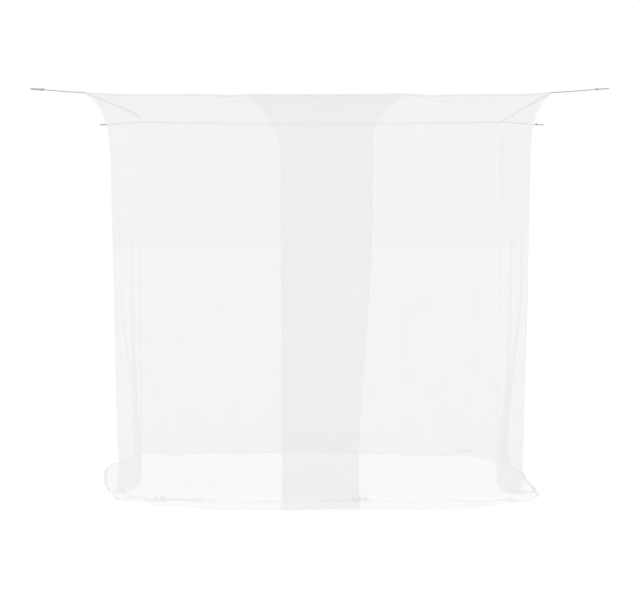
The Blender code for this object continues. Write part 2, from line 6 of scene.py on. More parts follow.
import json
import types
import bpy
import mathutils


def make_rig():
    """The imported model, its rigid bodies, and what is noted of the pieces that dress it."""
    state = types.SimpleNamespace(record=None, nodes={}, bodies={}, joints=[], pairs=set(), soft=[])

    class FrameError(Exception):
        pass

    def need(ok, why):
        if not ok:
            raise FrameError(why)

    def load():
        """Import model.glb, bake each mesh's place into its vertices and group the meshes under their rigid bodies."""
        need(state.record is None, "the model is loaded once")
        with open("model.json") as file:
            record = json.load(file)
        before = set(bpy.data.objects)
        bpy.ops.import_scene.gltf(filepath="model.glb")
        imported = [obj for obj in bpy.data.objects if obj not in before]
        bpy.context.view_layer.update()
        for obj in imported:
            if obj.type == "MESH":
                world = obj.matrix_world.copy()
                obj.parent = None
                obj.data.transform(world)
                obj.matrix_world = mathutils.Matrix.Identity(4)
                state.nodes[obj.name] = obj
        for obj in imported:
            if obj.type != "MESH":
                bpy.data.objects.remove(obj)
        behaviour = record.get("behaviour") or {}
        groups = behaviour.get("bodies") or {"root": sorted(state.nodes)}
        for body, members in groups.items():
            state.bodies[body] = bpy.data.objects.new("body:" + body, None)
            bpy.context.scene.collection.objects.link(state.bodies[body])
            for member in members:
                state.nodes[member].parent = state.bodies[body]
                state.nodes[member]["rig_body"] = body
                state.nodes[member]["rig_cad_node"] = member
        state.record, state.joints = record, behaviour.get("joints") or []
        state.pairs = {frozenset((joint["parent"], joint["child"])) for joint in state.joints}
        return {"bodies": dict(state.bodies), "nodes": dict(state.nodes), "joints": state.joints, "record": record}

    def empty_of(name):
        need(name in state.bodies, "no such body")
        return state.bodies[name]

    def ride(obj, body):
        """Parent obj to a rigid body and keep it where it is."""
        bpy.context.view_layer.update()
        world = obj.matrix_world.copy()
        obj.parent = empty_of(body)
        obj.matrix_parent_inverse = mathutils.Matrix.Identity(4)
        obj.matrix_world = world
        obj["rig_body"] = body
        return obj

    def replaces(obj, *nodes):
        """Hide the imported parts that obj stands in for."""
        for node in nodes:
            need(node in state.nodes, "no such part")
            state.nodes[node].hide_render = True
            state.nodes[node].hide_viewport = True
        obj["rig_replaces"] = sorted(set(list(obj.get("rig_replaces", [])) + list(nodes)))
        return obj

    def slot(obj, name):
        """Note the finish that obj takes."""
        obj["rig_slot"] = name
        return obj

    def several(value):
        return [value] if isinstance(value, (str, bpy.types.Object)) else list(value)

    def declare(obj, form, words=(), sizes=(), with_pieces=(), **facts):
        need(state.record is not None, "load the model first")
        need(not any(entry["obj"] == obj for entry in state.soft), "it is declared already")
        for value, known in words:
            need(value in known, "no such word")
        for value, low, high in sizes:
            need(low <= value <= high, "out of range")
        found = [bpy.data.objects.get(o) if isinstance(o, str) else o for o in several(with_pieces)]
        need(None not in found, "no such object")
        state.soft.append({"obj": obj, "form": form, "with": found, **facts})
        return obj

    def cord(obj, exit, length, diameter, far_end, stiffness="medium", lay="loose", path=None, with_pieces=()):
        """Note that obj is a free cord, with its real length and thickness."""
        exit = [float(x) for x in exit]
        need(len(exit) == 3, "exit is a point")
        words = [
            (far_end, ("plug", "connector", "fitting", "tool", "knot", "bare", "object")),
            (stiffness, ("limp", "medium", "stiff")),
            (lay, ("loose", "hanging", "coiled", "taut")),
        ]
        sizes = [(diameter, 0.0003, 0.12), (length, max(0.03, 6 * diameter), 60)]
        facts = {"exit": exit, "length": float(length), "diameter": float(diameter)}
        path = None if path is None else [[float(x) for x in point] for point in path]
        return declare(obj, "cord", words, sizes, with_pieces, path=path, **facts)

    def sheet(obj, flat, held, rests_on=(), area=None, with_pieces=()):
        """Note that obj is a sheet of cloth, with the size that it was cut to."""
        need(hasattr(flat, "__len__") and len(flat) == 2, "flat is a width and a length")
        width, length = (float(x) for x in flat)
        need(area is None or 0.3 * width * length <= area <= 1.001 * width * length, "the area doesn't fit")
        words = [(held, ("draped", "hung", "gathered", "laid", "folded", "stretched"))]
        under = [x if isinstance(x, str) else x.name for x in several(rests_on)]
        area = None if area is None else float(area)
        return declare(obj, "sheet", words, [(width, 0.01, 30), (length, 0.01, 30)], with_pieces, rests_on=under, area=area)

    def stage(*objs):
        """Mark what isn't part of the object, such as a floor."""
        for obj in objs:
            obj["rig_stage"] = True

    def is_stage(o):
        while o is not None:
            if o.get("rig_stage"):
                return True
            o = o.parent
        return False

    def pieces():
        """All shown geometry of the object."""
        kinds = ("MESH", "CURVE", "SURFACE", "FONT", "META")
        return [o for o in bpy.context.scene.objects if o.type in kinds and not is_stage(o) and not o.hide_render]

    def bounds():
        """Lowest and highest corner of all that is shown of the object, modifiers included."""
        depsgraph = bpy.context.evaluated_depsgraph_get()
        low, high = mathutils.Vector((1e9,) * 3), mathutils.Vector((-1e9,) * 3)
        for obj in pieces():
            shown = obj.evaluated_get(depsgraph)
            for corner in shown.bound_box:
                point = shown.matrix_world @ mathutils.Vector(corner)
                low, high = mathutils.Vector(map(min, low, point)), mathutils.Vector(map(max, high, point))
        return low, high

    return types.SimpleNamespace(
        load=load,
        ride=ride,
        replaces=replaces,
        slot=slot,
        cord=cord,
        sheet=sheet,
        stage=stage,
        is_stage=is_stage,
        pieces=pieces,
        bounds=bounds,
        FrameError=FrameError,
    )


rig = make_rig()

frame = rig.load()

import functools
import json
import math

import bpy
from mathutils import Vector

CAD_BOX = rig.bounds()

# --- View ---
CAMERA_AT = (0.050, -8.776, 1.242)
CAMERA_TARGET = (0.0236, 0.218, 0.913)
LENS_MM = 95.25
SENSOR_MM = 36.0

# --- Light ---
WORLD_LIGHT = 1.012  # just past white, so that the background is as white as the photo's
SOFTBOX_SIZE = 9.0
SOFTBOX_AT = (0.0, -1.0, 6.5)
SOFTBOX_WATTS = 50.0
FLOOR_SIZE = 400.0  # wide enough for its far edge to lie at the horizon
FLOOR_DROP = 0.0005  # the floor lies this far below the frame's zero
FLOOR_GLOW = 0.871  # the floor is a lit table, as under a cut-out product picture
SEEN_THROUGH = 64  # a view through the net passes many layers of holes

# --- Cloth, as in the frame ---
SOLID_CLOTH = 0.0012  # thickness of the frame's solid sheets, whose middle surface the net follows
GAP = 0.0003  # clearance between pieces that are sewn together
LAYER_TOP = 0.0018  # the front right panel stands this far in front of the left one, at the seam
LAYER = 0.0045  # and this far below it
LAYER_EASE = 0.06  # share of the wall's height over which the two front layers part
LAYER_FADE = 0.40  # share of the outer panel beyond the overlap over which it comes back into line
TINY = 1e-6  # keeps a length from being nothing

TOP = 1.921  # middle of the binding at the four tips
KNEE = 0.13  # height at which the walls start to turn onto the floor
KNEE_RADIUS = 0.05  # radius of that turn
HEM_STANDS = 0.06  # a hem that runs out less than this far doesn't lie flat, but ends hanging

CORNERS = {
    # name: (tip x, tip y, neck x, neck y, foot x, foot y, radius of the corner, its radius at the foot)
    "front_left": (-1.074, -0.830, -0.967, -0.775, -0.935, -0.790, 0.050, 0.050),
    "front_right": (1.110, -0.830, 1.022, -0.775, 1.000, -0.790, 0.050, 0.060),
    "back_right": (1.075, 1.170, 1.068, 1.095, 1.050, 1.070, 0.160, 0.120),
    "back_left": (-1.035, 1.170, -1.026, 1.095, -1.016, 1.080, 0.060, 0.060),
}
NECK = 0.076  # the seams run in towards the neck over about this height
ROUNDING = 0.200  # the corners grow round over about this height
BOW_FADE = 0.130  # a wall hangs clear of its top edge's bow over about this height
TAPER_CURVE = 1.5  # power of the curve by which the seams run to their feet
TOP_CURVE = 2.2  # power of the curve of a top edge's bow and of its sag

WALLS = {
    # name: (first corner, last corner, bow of the top edge, where the bow is deepest, sag of the top edge)
    "front": ("front_left", "front_right", 0.050, 0.50, 0.000),
    "right": ("front_right", "back_right", 0.022, 0.35, 0.012),
    "back": ("back_right", "back_left", 0.030, 0.50, 0.010),
    "left": ("back_left", "front_left", 0.080, 0.40, 0.014),
}

# How far the front's top edge hangs below its tips, at places along it: it stands up at the flaps' edges.
FRONT_EDGE = (
    # (along, drop)
    (0.000, 0.0000),
    (0.030, 0.0055),
    (0.080, 0.0090),
    (0.180, 0.0092),
    (0.246, 0.0050),
    (0.310, 0.0105),
    (0.365, 0.0050),
    (0.420, 0.0066),
    (0.580, 0.0066),
    (0.675, 0.0030),
    (0.740, 0.0115),
    (0.800, 0.0090),
    (0.930, 0.0090),
    (0.975, 0.0050),
    (1.000, 0.0000),
)

FOLDS = {
    # wall: (along, drift, width, depth, start, full), as in the frame's solids
    "front": (
        (0.075, -0.010, 0.040, 0.030, 0.45, 0.90),
        (0.200, 0.010, 0.070, -0.014, 0.10, 0.55),
        (0.340, 0.015, 0.060, 0.011, 0.05, 0.50),
        (0.480, 0.000, 0.080, -0.010, 0.15, 0.70),
        (0.660, -0.015, 0.060, 0.012, 0.05, 0.50),
        (0.790, 0.010, 0.060, -0.016, 0.10, 0.60),
        (0.920, 0.010, 0.045, 0.014, 0.20, 0.80),
    ),
    "right": (
        (0.120, 0.000, 0.280, -0.100, 0.50, 1.00),
        (0.140, 0.010, 0.065, -0.018, 0.08, 0.50),
        (0.300, 0.000, 0.070, 0.018, 0.05, 0.60),
        (0.470, 0.020, 0.070, -0.020, 0.10, 0.60),
        (0.640, -0.010, 0.075, 0.016, 0.05, 0.50),
        (0.820, 0.000, 0.070, -0.022, 0.04, 0.40),
    ),
    "back": (
        (0.090, -0.020, 0.050, -0.045, 0.02, 0.25),
        (0.190, -0.010, 0.050, 0.024, 0.05, 0.40),
        (0.360, 0.010, 0.070, -0.013, 0.10, 0.55),
        (0.540, 0.000, 0.080, 0.011, 0.10, 0.60),
        (0.720, 0.015, 0.070, -0.014, 0.05, 0.50),
        (0.880, 0.000, 0.055, 0.012, 0.10, 0.60),
    ),
    "left": (
        (0.130, 0.000, 0.060, -0.016, 0.06, 0.50),
        (0.290, -0.015, 0.070, 0.018, 0.05, 0.60),
        (0.460, 0.000, 0.075, -0.019, 0.08, 0.50),
        (0.630, 0.015, 0.070, 0.017, 0.10, 0.60),
        (0.720, 0.000, 0.220, -0.085, 0.50, 1.00),
        (0.830, 0.010, 0.065, -0.018, 0.15, 0.70),
    ),
}
SEAM_REACH = 0.10  # folds die out this share of a wall's width from a seam

HEM = {
    # wall: (along, out in x, out in y), as in the frame's solids
    "front": (
        (0.00, -0.010, -0.010),
        (0.045, 0.000, -0.125),
        (0.095, 0.000, -0.195),
        (0.19, 0.000, -0.232),
        (0.24, 0.000, -0.303),
        (0.40, 0.000, -0.303),
        (0.60, 0.000, -0.285),
        (0.67, 0.000, -0.308),
        (0.76, 0.000, -0.290),
        (0.85, 0.000, -0.258),
        (0.905, 0.000, -0.215),
        (0.96, 0.010, -0.110),
    ),
    "right": (
        (0.00, 0.030, -0.050),
        (0.05, 0.078, 0.000),
        (0.20, 0.078, 0.000),
        (0.38, 0.068, 0.000),
        (0.50, 0.074, 0.000),
        (0.66, 0.000, -0.010),
        (0.80, -0.080, -0.100),
        (0.92, -0.125, -0.180),
    ),
    "back": (
        (0.00, -0.120, -0.220),
        (0.12, -0.050, -0.240),
        (0.34, 0.000, -0.170),
        (0.55, 0.000, -0.085),
        (0.68, 0.000, -0.135),
        (0.80, 0.000, -0.170),
        (0.92, 0.000, -0.215),
    ),
    "left": (
        (0.00, 0.015, -0.110),
        (0.08, -0.014, -0.030),
        (0.15, -0.020, 0.000),
        (0.25, -0.085, 0.000),
        (0.34, -0.128, 0.000),
        (0.45, -0.146, 0.000),
        (0.62, -0.125, 0.000),
        (0.73, -0.104, 0.000),
        (0.84, -0.072, 0.000),
        (0.94, -0.031, 0.000),
    ),
}
OUTER_REACH = 0.20  # the front right panel's hem runs this share further out than the left one's
OUTER_FROM = 0.60  # places along the front between which that ends
OUTER_TO = 0.70

RIPPLES = {
    # wall: (along, width, lift), as in the frame's solids
    "front": ((0.05, 0.030, 0.024), (0.14, 0.030, 0.016), (0.52, 0.030, 0.004), (0.93, 0.030, 0.012)),
    "right": ((0.06, 0.030, 0.026), (0.20, 0.035, 0.018), (0.42, 0.030, 0.010), (0.88, 0.040, 0.014)),
    "back": ((0.06, 0.030, 0.016), (0.30, 0.040, 0.008), (0.80, 0.030, 0.012)),
    "left": ((0.35, 0.030, 0.010), (0.60, 0.035, 0.008), (0.92, 0.030, 0.020)),
}

RIPPLE_RISE = 0.8  # how far settled the cloth is where the ripples reach their height
RIPPLE_FULL = 0.5  # share of the lying cloth beyond which they settle again
RIPPLE_AT_HEM = 0.3  # share of their height that is left at the hem

# Where the cloth turns onto the floor it rolls up a little, and is gathered in places.
ROLL_OUT = 0.012  # the roll's middle, from where the cloth meets the floor
ROLL_WIDTH = 0.006
ROLL_HEIGHT = {"front": 0.005, "right": 0.002, "back": 0.003, "left": 0.0}
ROLL_WAVES = ((0.35, 0.31), (0.20, 0.087))  # (share of the roll's height, length of the wave), added together
ROLL_ROWS = (0.40, 0.70)  # the foot's rows between these shares lie close together, on the roll
ROLL_ROWS_REACH = 2.2 * ROLL_WIDTH  # and this far to each side of its middle
CURL_HEIGHT = 0.0035  # how far the hem's edge stands up from the floor
CURL_WIDTH = 0.010
CURL_ROWS = 0.92  # share of the foot's rows at which the curl starts
PLEAT_MEAN = 0.55  # of a bunch's height, with pleats up to the next share above and below it
PLEAT_DEPTH = 0.45
BUNCH_CLEAR = 0.02  # bunches die out this share of a wall's width from a seam
BUNCHES = {
    # wall: (along, width, height, distance between its small pleats)
    "front": (
        (0.105, 0.030, 0.032, 0.034),
        (0.185, 0.035, 0.018, 0.027),
        (0.595, 0.022, 0.034, 0.029),
        (0.960, 0.020, 0.016, 0.024),
    ),
    "right": ((0.120, 0.050, 0.024, 0.046), (0.300, 0.060, 0.012, 0.051)),
    "back": ((0.080, 0.030, 0.020, 0.036), (0.420, 0.020, 0.006, 0.030), (0.720, 0.022, 0.016, 0.033)),
    "left": ((0.920, 0.030, 0.014, 0.044),),
}

# A front panel's free edge: x at the top, below it and at the foot, then the shares of the height by which it
# has run in below the top, and from which it slants to the foot.
RIGHT_PANEL_EDGE = (-0.310, -0.158, -0.152, 0.16, 0.30)
LEFT_PANEL_EDGE = (0.425, 0.276, 0.212, 0.11, 0.32)
EDGE_CURVE = 2.1  # power of the curve by which a free edge runs in below the top

# Fine creases, which the solids leave out. Each row stands out (or in, if negative) by depth metres, at a
# place along the wall that drifts by the floor, is width metres wide, and shows between two height shares.
CREASES = {
    # wall: (along, drift, width, depth, start, end)
    "front": (
        (0.030, 0.000, 0.012, 0.006, 0.30, 1.00),
        (0.110, 0.004, 0.014, -0.006, 0.55, 1.00),
        (0.160, -0.006, 0.016, 0.004, 0.20, 0.90),
        (0.265, 0.004, 0.018, 0.003, 0.40, 1.00),
        (0.565, 0.003, 0.016, 0.003, 0.35, 1.00),
        (0.710, -0.004, 0.014, -0.004, 0.10, 0.75),
        (0.850, 0.006, 0.014, 0.005, 0.25, 1.00),
        (0.965, 0.000, 0.012, 0.006, 0.20, 1.00),
    ),
    "right": (
        (0.055, 0.000, 0.012, 0.007, 0.10, 1.00),
        (0.220, 0.006, 0.016, 0.005, 0.20, 1.00),
        (0.390, -0.004, 0.018, -0.005, 0.30, 0.95),
        (0.560, 0.004, 0.016, 0.005, 0.15, 0.80),
        (0.740, 0.000, 0.014, -0.006, 0.05, 0.70),
        (0.880, 0.000, 0.012, 0.009, 0.00, 0.28),
        (0.930, 0.000, 0.011, -0.010, 0.00, 0.22),
        (0.965, 0.000, 0.011, 0.009, 0.00, 0.16),
    ),
    "back": (
        (0.035, 0.000, 0.012, 0.009, 0.00, 0.30),
        (0.060, 0.000, 0.012, -0.008, 0.02, 0.60),
        (0.130, 0.000, 0.014, 0.008, 0.04, 0.90),
        (0.260, 0.004, 0.018, -0.004, 0.30, 1.00),
        (0.430, -0.003, 0.018, 0.003, 0.20, 0.80),
        (0.610, 0.003, 0.018, -0.003, 0.35, 1.00),
        (0.800, 0.000, 0.016, 0.004, 0.15, 0.90),
        (0.960, 0.000, 0.012, 0.006, 0.10, 1.00),
    ),
    "left": (
        (0.040, 0.000, 0.012, 0.006, 0.05, 1.00),
        (0.210, 0.000, 0.016, -0.005, 0.15, 0.90),
        (0.370, 0.006, 0.018, 0.005, 0.25, 1.00),
        (0.540, -0.004, 0.016, -0.005, 0.20, 0.90),
        (0.730, 0.000, 0.016, 0.005, 0.10, 1.00),
        (0.920, 0.000, 0.012, -0.006, 0.30, 1.00),
    ),
}
CREASE_CLEAR = 0.03  # metres from a corner seam over which creases die out
CREASE_START = 0.10  # shares of the height over which a crease fades in and out
CREASE_END = 0.08

# Small puckers of the hem on the floor: (waves along a metre, height, phase), added together.
PUCKERS = ((7.0, 0.0009, 0.4), (13.0, 0.0005, 2.1), (29.0, 0.00025, 4.4))
PUCKER_CLEAR = 0.03  # they die out this share of a wall's width from a seam

# --- Roof and binding ---
ROOF_SAG = 0.055  # below its edges, in the middle
ROOF_CURVE = 2.5  # power of the curve of that sag
ROOF_LIFT = 0.002  # the roof meets the binding this far above its middle
ROOF_SLACK = ((0.0035, 9.0, 14.0, 0.0), (0.0025, 23.0, -8.0, 1.3))  # (depth, rate across, rate back, phase)
BINDING_HEIGHT = 0.008
BINDING_WIDTH = 0.004
TIP_CUT = 0.0004  # how far back from the tip the binding's end is cut square to the cord
# A quarter of the folded tape's section, from a fold to the middle: (share of half width, share of height)
TAPE_SECTION = ((0.45, 0.00), (0.85, 0.05), (1.00, 0.14), (0.86, 0.30), (0.94, 0.50))
TAPE_FOLD = 0.95  # share of the half width past which a point is on a fold, which stays straight
TAPE_PUCKERS = ((0.05, 0.021), (0.04, 0.0083))  # (share of the width, length of the wave), added together

# --- Corner cords ---
CORD = 0.005  # diameter
CORD_STEP = 0.001  # between points of the cord's line
CORD_STARTS = 3 * CORD  # the cord leaves the tip straight for this far
CORD_PLACES = (0.3, 0.5, 0.7, 0.85, 1.0)  # of the route's points, as shares of the rest of the way
CORD_SIDES = 18
CORD_ENDS = {
    # corner: (x, y, height above the tip) of the cord's end
    "front_left": (-1.243, -0.962, 0.003),
    "front_right": (1.291, -0.971, 0.003),
    "back_right": (1.304, 1.348, -0.002),
    "back_left": (-1.245, 1.347, -0.002),
}
CORD_SAG = 0.001
KNOT = (0.008, 0.0075, 0.006)  # half sizes of the knot, along the cord, across it and up
KNOT_CORD = 0.0022  # radius of the cord where it is pulled tight in the knot
KNOT_TURNS = 3
KNOT_STEPS = 144
LOOP_LENGTH = 0.060  # from the knot's middle to the loop's far end
LOOP_WIDTH = 0.016  # between the loop's middle lines, where it is widest
LOOP_TILT = math.radians(10)  # the loop lies turned this far out of level
LOOP_SWEEP = math.radians(150)  # half of the loop's turn; its two legs end inside the knot
LOOP_STEPS = 60
STRANDS = 3
LAY = 0.016  # length in which the cord's strands make one turn
GROOVE_DEPTH = 0.30  # between the strands, as a share of the radius
FIBRE_SLANT = 0.9  # how far the fibres run round the cord for each metre along it

# --- Fineness ---
FRONT_COLUMNS = (56, 48, 48)  # left of the overlap, in it, and right of it
SIDE_COLUMNS = 130
NECK_ROWS = 16  # in the first NECK_SHARE of the height
NECK_SHARE = 0.12
WALL_ROWS = 52
FOOT_ROWS = 44
SHARP = math.radians(60)  # faces that meet at more than this show an edge

# --- Colours, linear ---
NET_WHITE = (0.868, 0.871, 0.875)
# painted shade of the layered hems, edges and seams, darker than the net
HEM_PAINTED_SHADE = (0.760, 0.764, 0.770)
TAPE_WHITE = (0.880, 0.884, 0.890)
# mid grey: the cord's own pale cotton colour darkened with painted shade of the round cord
CORD_SHADED_GREY = (0.500, 0.500, 0.495)
FLOOR_WHITE = (0.14, 0.14, 0.14)

# --- Net, tape and cord, close by ---
HEM_WIDTH = 0.012  # of the hem at the foot
EDGE_WIDTH = 0.006  # of the narrow hem up a flap's free edge
SEAM_WIDTH = 0.003  # of the folded allowance on each side of a corner seam
NET_PITCH = 0.0016  # between the net's holes
NET_THREAD = -0.66  # of the honeycomb's three waves: what lies below this is thread, 0.42 of the cloth
THREAD_EDGE = 0.12  # how far to each side of that the step from hole to thread runs
HEM_GROWS, EDGE_GROWS, SEAM_GROWS = 1.9, 0.8, 0.5  # and this much more is, in a hem, an edge and a seam
DRIFT_SIZE = 0.006  # the net's holes wander over about this length
DRIFT = 0.0012  # and by up to half of this
STITCH = 0.0035  # length of a lock stitch
TAPE_STITCH = 0.0032
TAPE_RIB = 0.0009  # width of the tape's ribs
TAPE_PICK = 0.0007  # and of the threads across them
CORD_FIBRE = 0.0006  # width of the cord's fibres
NOISE_LOW, NOISE_HIGH = 0.3, 0.7  # what nearly all of a noise's values lie between


# --- Helpers ---
def smooth(share):
    """0 below 0, 1 above 1, with a soft start and end between them."""
    share = min(max(share, 0.0), 1.0)
    return share * share * (3 - 2 * share)


def bell(distance, width):
    return math.exp(-((distance / width) ** 2))


def between(a, b, share):
    return a + (b - a) * share


def wave(run, length):
    return math.sin(2 * math.pi * run / length)


def off_seams(along, clear):
    """1, falling to 0 at both ends of a wall over the given share of it."""
    return smooth(along / clear) * smooth((1 - along) / clear)


def eased(rows, place):
    """The values at a place between rows of (place, value, ...), with a soft start and end in each step."""
    for low, high in zip(rows, rows[1:]):
        if place <= high[0]:
            share = smooth((place - low[0]) / (high[0] - low[0]))
            return [between(a, b, share) for a, b in zip(low[1:], high[1:])]
    return list(rows[-1][1:])


def edge_x(edge, share):
    """x of a front panel's free edge, at a share of the way down."""
    top, below, foot, neck, slant = edge
    drawn_in = (1 - min(share / neck, 1.0)) ** EDGE_CURVE
    return between(below, foot, smooth((share - slant) / (1 - slant))) + (top - below) * drawn_in


# --- The ring of net ---
@functools.cache
def corner(name, share):
    """(point in plan, radius) of a corner of the ring at a share of the way down."""
    tip_x, tip_y, neck_x, neck_y, foot_x, foot_y, radius, foot_radius = CORNERS[name]
    drop = share * (TOP - KNEE)
    taut = math.exp(-drop / NECK)
    taper = share**TAPER_CURVE
    x = between(between(neck_x, foot_x, taper), tip_x, taut)
    y = between(between(neck_y, foot_y, taper), tip_y, taut)
    return Vector((x, y)), between(radius, foot_radius, taper) * (1 - math.exp(-drop / ROUNDING))


@functools.cache
def turn_at(name, share):
    """The angle through which the ring turns at a corner."""
    names = list(CORNERS)
    k = names.index(name)
    before = corner(names[k - 1], share)[0]
    here = corner(name, share)[0]
    after = corner(names[(k + 1) % len(names)], share)[0]
    return (here - before).angle(after - here)


@functools.cache
def wall_frame(wall, share):
    """What on_wall needs of a wall at a share of the way down: its ends, directions and corner arcs."""
    first, last = WALLS[wall][:2]
    start, start_radius = corner(first, share)
    end, end_radius = corner(last, share)
    way = (end - start).normalized()
    out = Vector((way.y, -way.x))
    arcs = []
    for name, radius in ((first, start_radius), (last, end_radius)):
        half = turn_at(name, share) / 2
        arcs.append((radius, radius * math.tan(half), radius * half))
    straight = (end - start).length - arcs[0][1] - arcs[1][1]
    return start, end, way, out, arcs, straight


def wall_length(wall, share):
    _, _, _, _, arcs, straight = wall_frame(wall, share)
    return arcs[0][2] + straight + arcs[1][2]


def on_wall(wall, along, share):
    """(point in plan, direction outwards) of the smooth ring, at a place along a wall."""
    start, end, way, out, arcs, straight = wall_frame(wall, share)
    run = along * wall_length(wall, share)
    if run < arcs[0][2]:
        radius, trim, length = arcs[0]
        angle = (length - run) / radius
        centre = start + way * trim - out * radius
        out_here = out * math.cos(angle) - way * math.sin(angle)
        return centre + out_here * radius, out_here
    if run > arcs[0][2] + straight:
        radius, trim, length = arcs[1]
        angle = (run - arcs[0][2] - straight) / radius
        centre = end - way * trim - out * radius
        out_here = out * math.cos(angle) + way * math.sin(angle)
        return centre + out_here * radius, out_here
    return start + way * (arcs[0][1] + run - arcs[0][2]), out


def bow(wall, along):
    """How far in the wall's top edge lies from the line between its tips."""
    _, _, depth, place, _ = WALLS[wall]
    if along < place:
        side = (place - along) / place
    else:
        side = (along - place) / (1 - place)
    return depth * (1 - side**TOP_CURVE)


def folds(wall, along, share):
    total = 0.0
    for place, drift, width, depth, start, full in FOLDS[wall]:
        fade = smooth((share - start) / (full - start))
        total += depth * fade * bell(along - place - drift * share, width)
    return total * off_seams(along, SEAM_REACH)


def creases(wall, along, share):
    """Fine creases, which fade in and out and stop short of the corner seams."""
    length = wall_length(wall, 1.0)
    total = 0.0
    for place, drift, width, depth, start, end in CREASES[wall]:
        fade = smooth((share - start) / CREASE_START) * smooth((end + CREASE_END - share) / CREASE_END)
        total += depth * fade * bell((along - place - drift * share) * length, width)
    return total * off_seams(along, CREASE_CLEAR / length)


def top_height(wall, along):
    """Height of the middle of the binding."""
    if wall == "front":
        return TOP - eased(FRONT_EDGE, along)[0]
    return TOP - WALLS[wall][4] * (1 - abs(2 * along - 1) ** TOP_CURVE)


def hem_reach(wall, along):
    """How far the hem lies from the line of the wall's foot, in plan."""
    names = list(WALLS)
    after = HEM[names[(names.index(wall) + 1) % len(names)]][0]
    return Vector(eased(list(HEM[wall]) + [(1.0, *after[1:])], along))


def ripples(wall, along):
    return sum(lift * bell(along - place, width) for place, width, lift in RIPPLES[wall])


def bunches(wall, along):
    """How high the cloth is gathered where it turns onto the floor: a low roll, with standing pleats."""
    metres = along * wall_length(wall, 1.0)
    uneven = sum(share * wave(metres, length) for share, length in ROLL_WAVES)
    total = ROLL_HEIGHT[wall] * (1 + uneven)
    for place, width, height, pleat in BUNCHES[wall]:
        standing = PLEAT_MEAN + PLEAT_DEPTH * wave(metres, pleat)
        total += height * bell(along - place, width) * standing
    return total * off_seams(along, BUNCH_CLEAR)


def puckers(wall, along):
    """Small waves of the hem, never below the floor."""
    metres = along * wall_length(wall, 1.0)
    total = 0.0
    for count, height, phase in PUCKERS:
        total += height * (1 + math.sin(2 * math.pi * count * metres + phase))
    return total * off_seams(along, PUCKER_CLEAR)


def net_point(wall, along, down, outer):
    """A point of the net. down runs from 0 at the binding to 1 at the knee, and to 2 at the hem."""
    share = min(down, 1.0)
    plan, out = on_wall(wall, along, share)
    drop = share * (TOP - KNEE)
    inwards = bow(wall, along) * math.exp(-drop / BOW_FADE)
    plan = plan + out * (folds(wall, along, share) + creases(wall, along, share) - inwards)
    top = top_height(wall, along) - BINDING_HEIGHT / 2 - GAP
    if down <= 1.0:
        return Vector((plan.x, plan.y, between(top, KNEE, share)))
    foot = down - 1.0
    reach = on_wall(wall, along, 1.0)[0] + hem_reach(wall, along) - plan
    if outer:
        further = OUTER_REACH * smooth((OUTER_TO - along) / (OUTER_TO - OUTER_FROM))
        reach = reach * (1 + further * foot**2)
    run = max(reach.length, TINY)
    lies = smooth(run / HEM_STANDS)
    radius = min(KNEE_RADIUS, run / 2)
    # The wall comes straight down, turns through a quarter circle and lies flat. Its rows lie close together
    # on the roll, and again on the curl at the hem's edge.
    straight = KNEE - radius
    arc = math.pi / 2 * radius
    flat = run - radius
    total = straight + arc + flat
    rolled = straight + arc + min(ROLL_OUT, flat / 2)
    half = min(ROLL_ROWS_REACH, flat / 2)
    curl = max(min(CURL_WIDTH, (total - rolled - half) / 2), TINY)
    stops = (
        # (share of the foot's rows, distance from the knee)
        (0.0, 0.0),
        (ROLL_ROWS[0], rolled - half),
        (ROLL_ROWS[1], rolled + half),
        (CURL_ROWS, total - curl),
        (1.0, total),
    )
    for (low, near), (high, far) in zip(stops, stops[1:]):
        if foot <= high:
            gone = between(near, far, (foot - low) / (high - low))
            break
    if gone < straight:
        moved, height = 0.0, KNEE - gone
    elif gone < straight + arc:
        angle = (gone - straight) / radius
        moved, height = radius * (1 - math.cos(angle)), radius * (1 - math.sin(angle))
    else:
        moved, height = radius + gone - straight - arc, 0.0
    moved = between(run * foot, moved, lies)
    height = between(KNEE * (1 - foot), height, lies)
    settled = smooth((gone - straight) / (arc + flat))
    crest = smooth((gone - straight - arc - RIPPLE_FULL * flat) / ((1 - RIPPLE_FULL) * flat))
    lift = ripples(wall, along) * lies * between(1.0, RIPPLE_AT_HEM, crest) * smooth(settled / RIPPLE_RISE)
    lift += puckers(wall, along) * settled
    lift += bunches(wall, along) * lies * bell(gone - rolled, ROLL_WIDTH)
    lift += CURL_HEIGHT * lies * smooth(1 - (total - gone) / curl)
    plan = plan + reach / run * moved
    return Vector((plan.x, plan.y, SOLID_CLOTH / 2 + height + lift))


@functools.cache
def front_places(share):
    """Places along the front, at a share of the way down, with the two free edges among them."""
    left, right = corner("front_left", share)[0].x, corner("front_right", share)[0].x
    stops = [0.0]
    for edge in (RIGHT_PANEL_EDGE, LEFT_PANEL_EDGE):
        stops.append((edge_x(edge, share) - left) / (right - left))
    stops.append(1.0)
    places = []
    for low, high, columns in zip(stops, stops[1:], FRONT_COLUMNS):
        places += [between(low, high, i / columns) for i in range(columns)]
    return places + [1.0]


def wall_places(wall, share):
    """Places of a wall's columns. The back has those of the front's top edge, so that the roof fits both."""
    if wall == "front":
        return front_places(share)
    if wall == "back":
        return [1 - place for place in reversed(front_places(0.0))]
    return [i / SIDE_COLUMNS for i in range(SIDE_COLUMNS + 1)]


def heights():
    """The rows of the net: close together in the neck, even below it, and down to 2 at the hem."""
    rows = [NECK_SHARE * i / NECK_ROWS for i in range(NECK_ROWS)]
    rows += [between(NECK_SHARE, 1.0, i / WALL_ROWS) for i in range(WALL_ROWS)]
    return rows + [1 + i / FOOT_ROWS for i in range(FOOT_ROWS + 1)]


def ring(outer):
    """Rows of points all round the net, and for each wall its first station in a row."""
    starts = {}
    rows = []
    for down in heights():
        row = []
        for wall in WALLS:
            starts[wall] = len(row)
            for along in wall_places(wall, min(down, 1.0))[:-1]:
                row.append(net_point(wall, along, down, outer))
        rows.append(row)
    return rows, starts


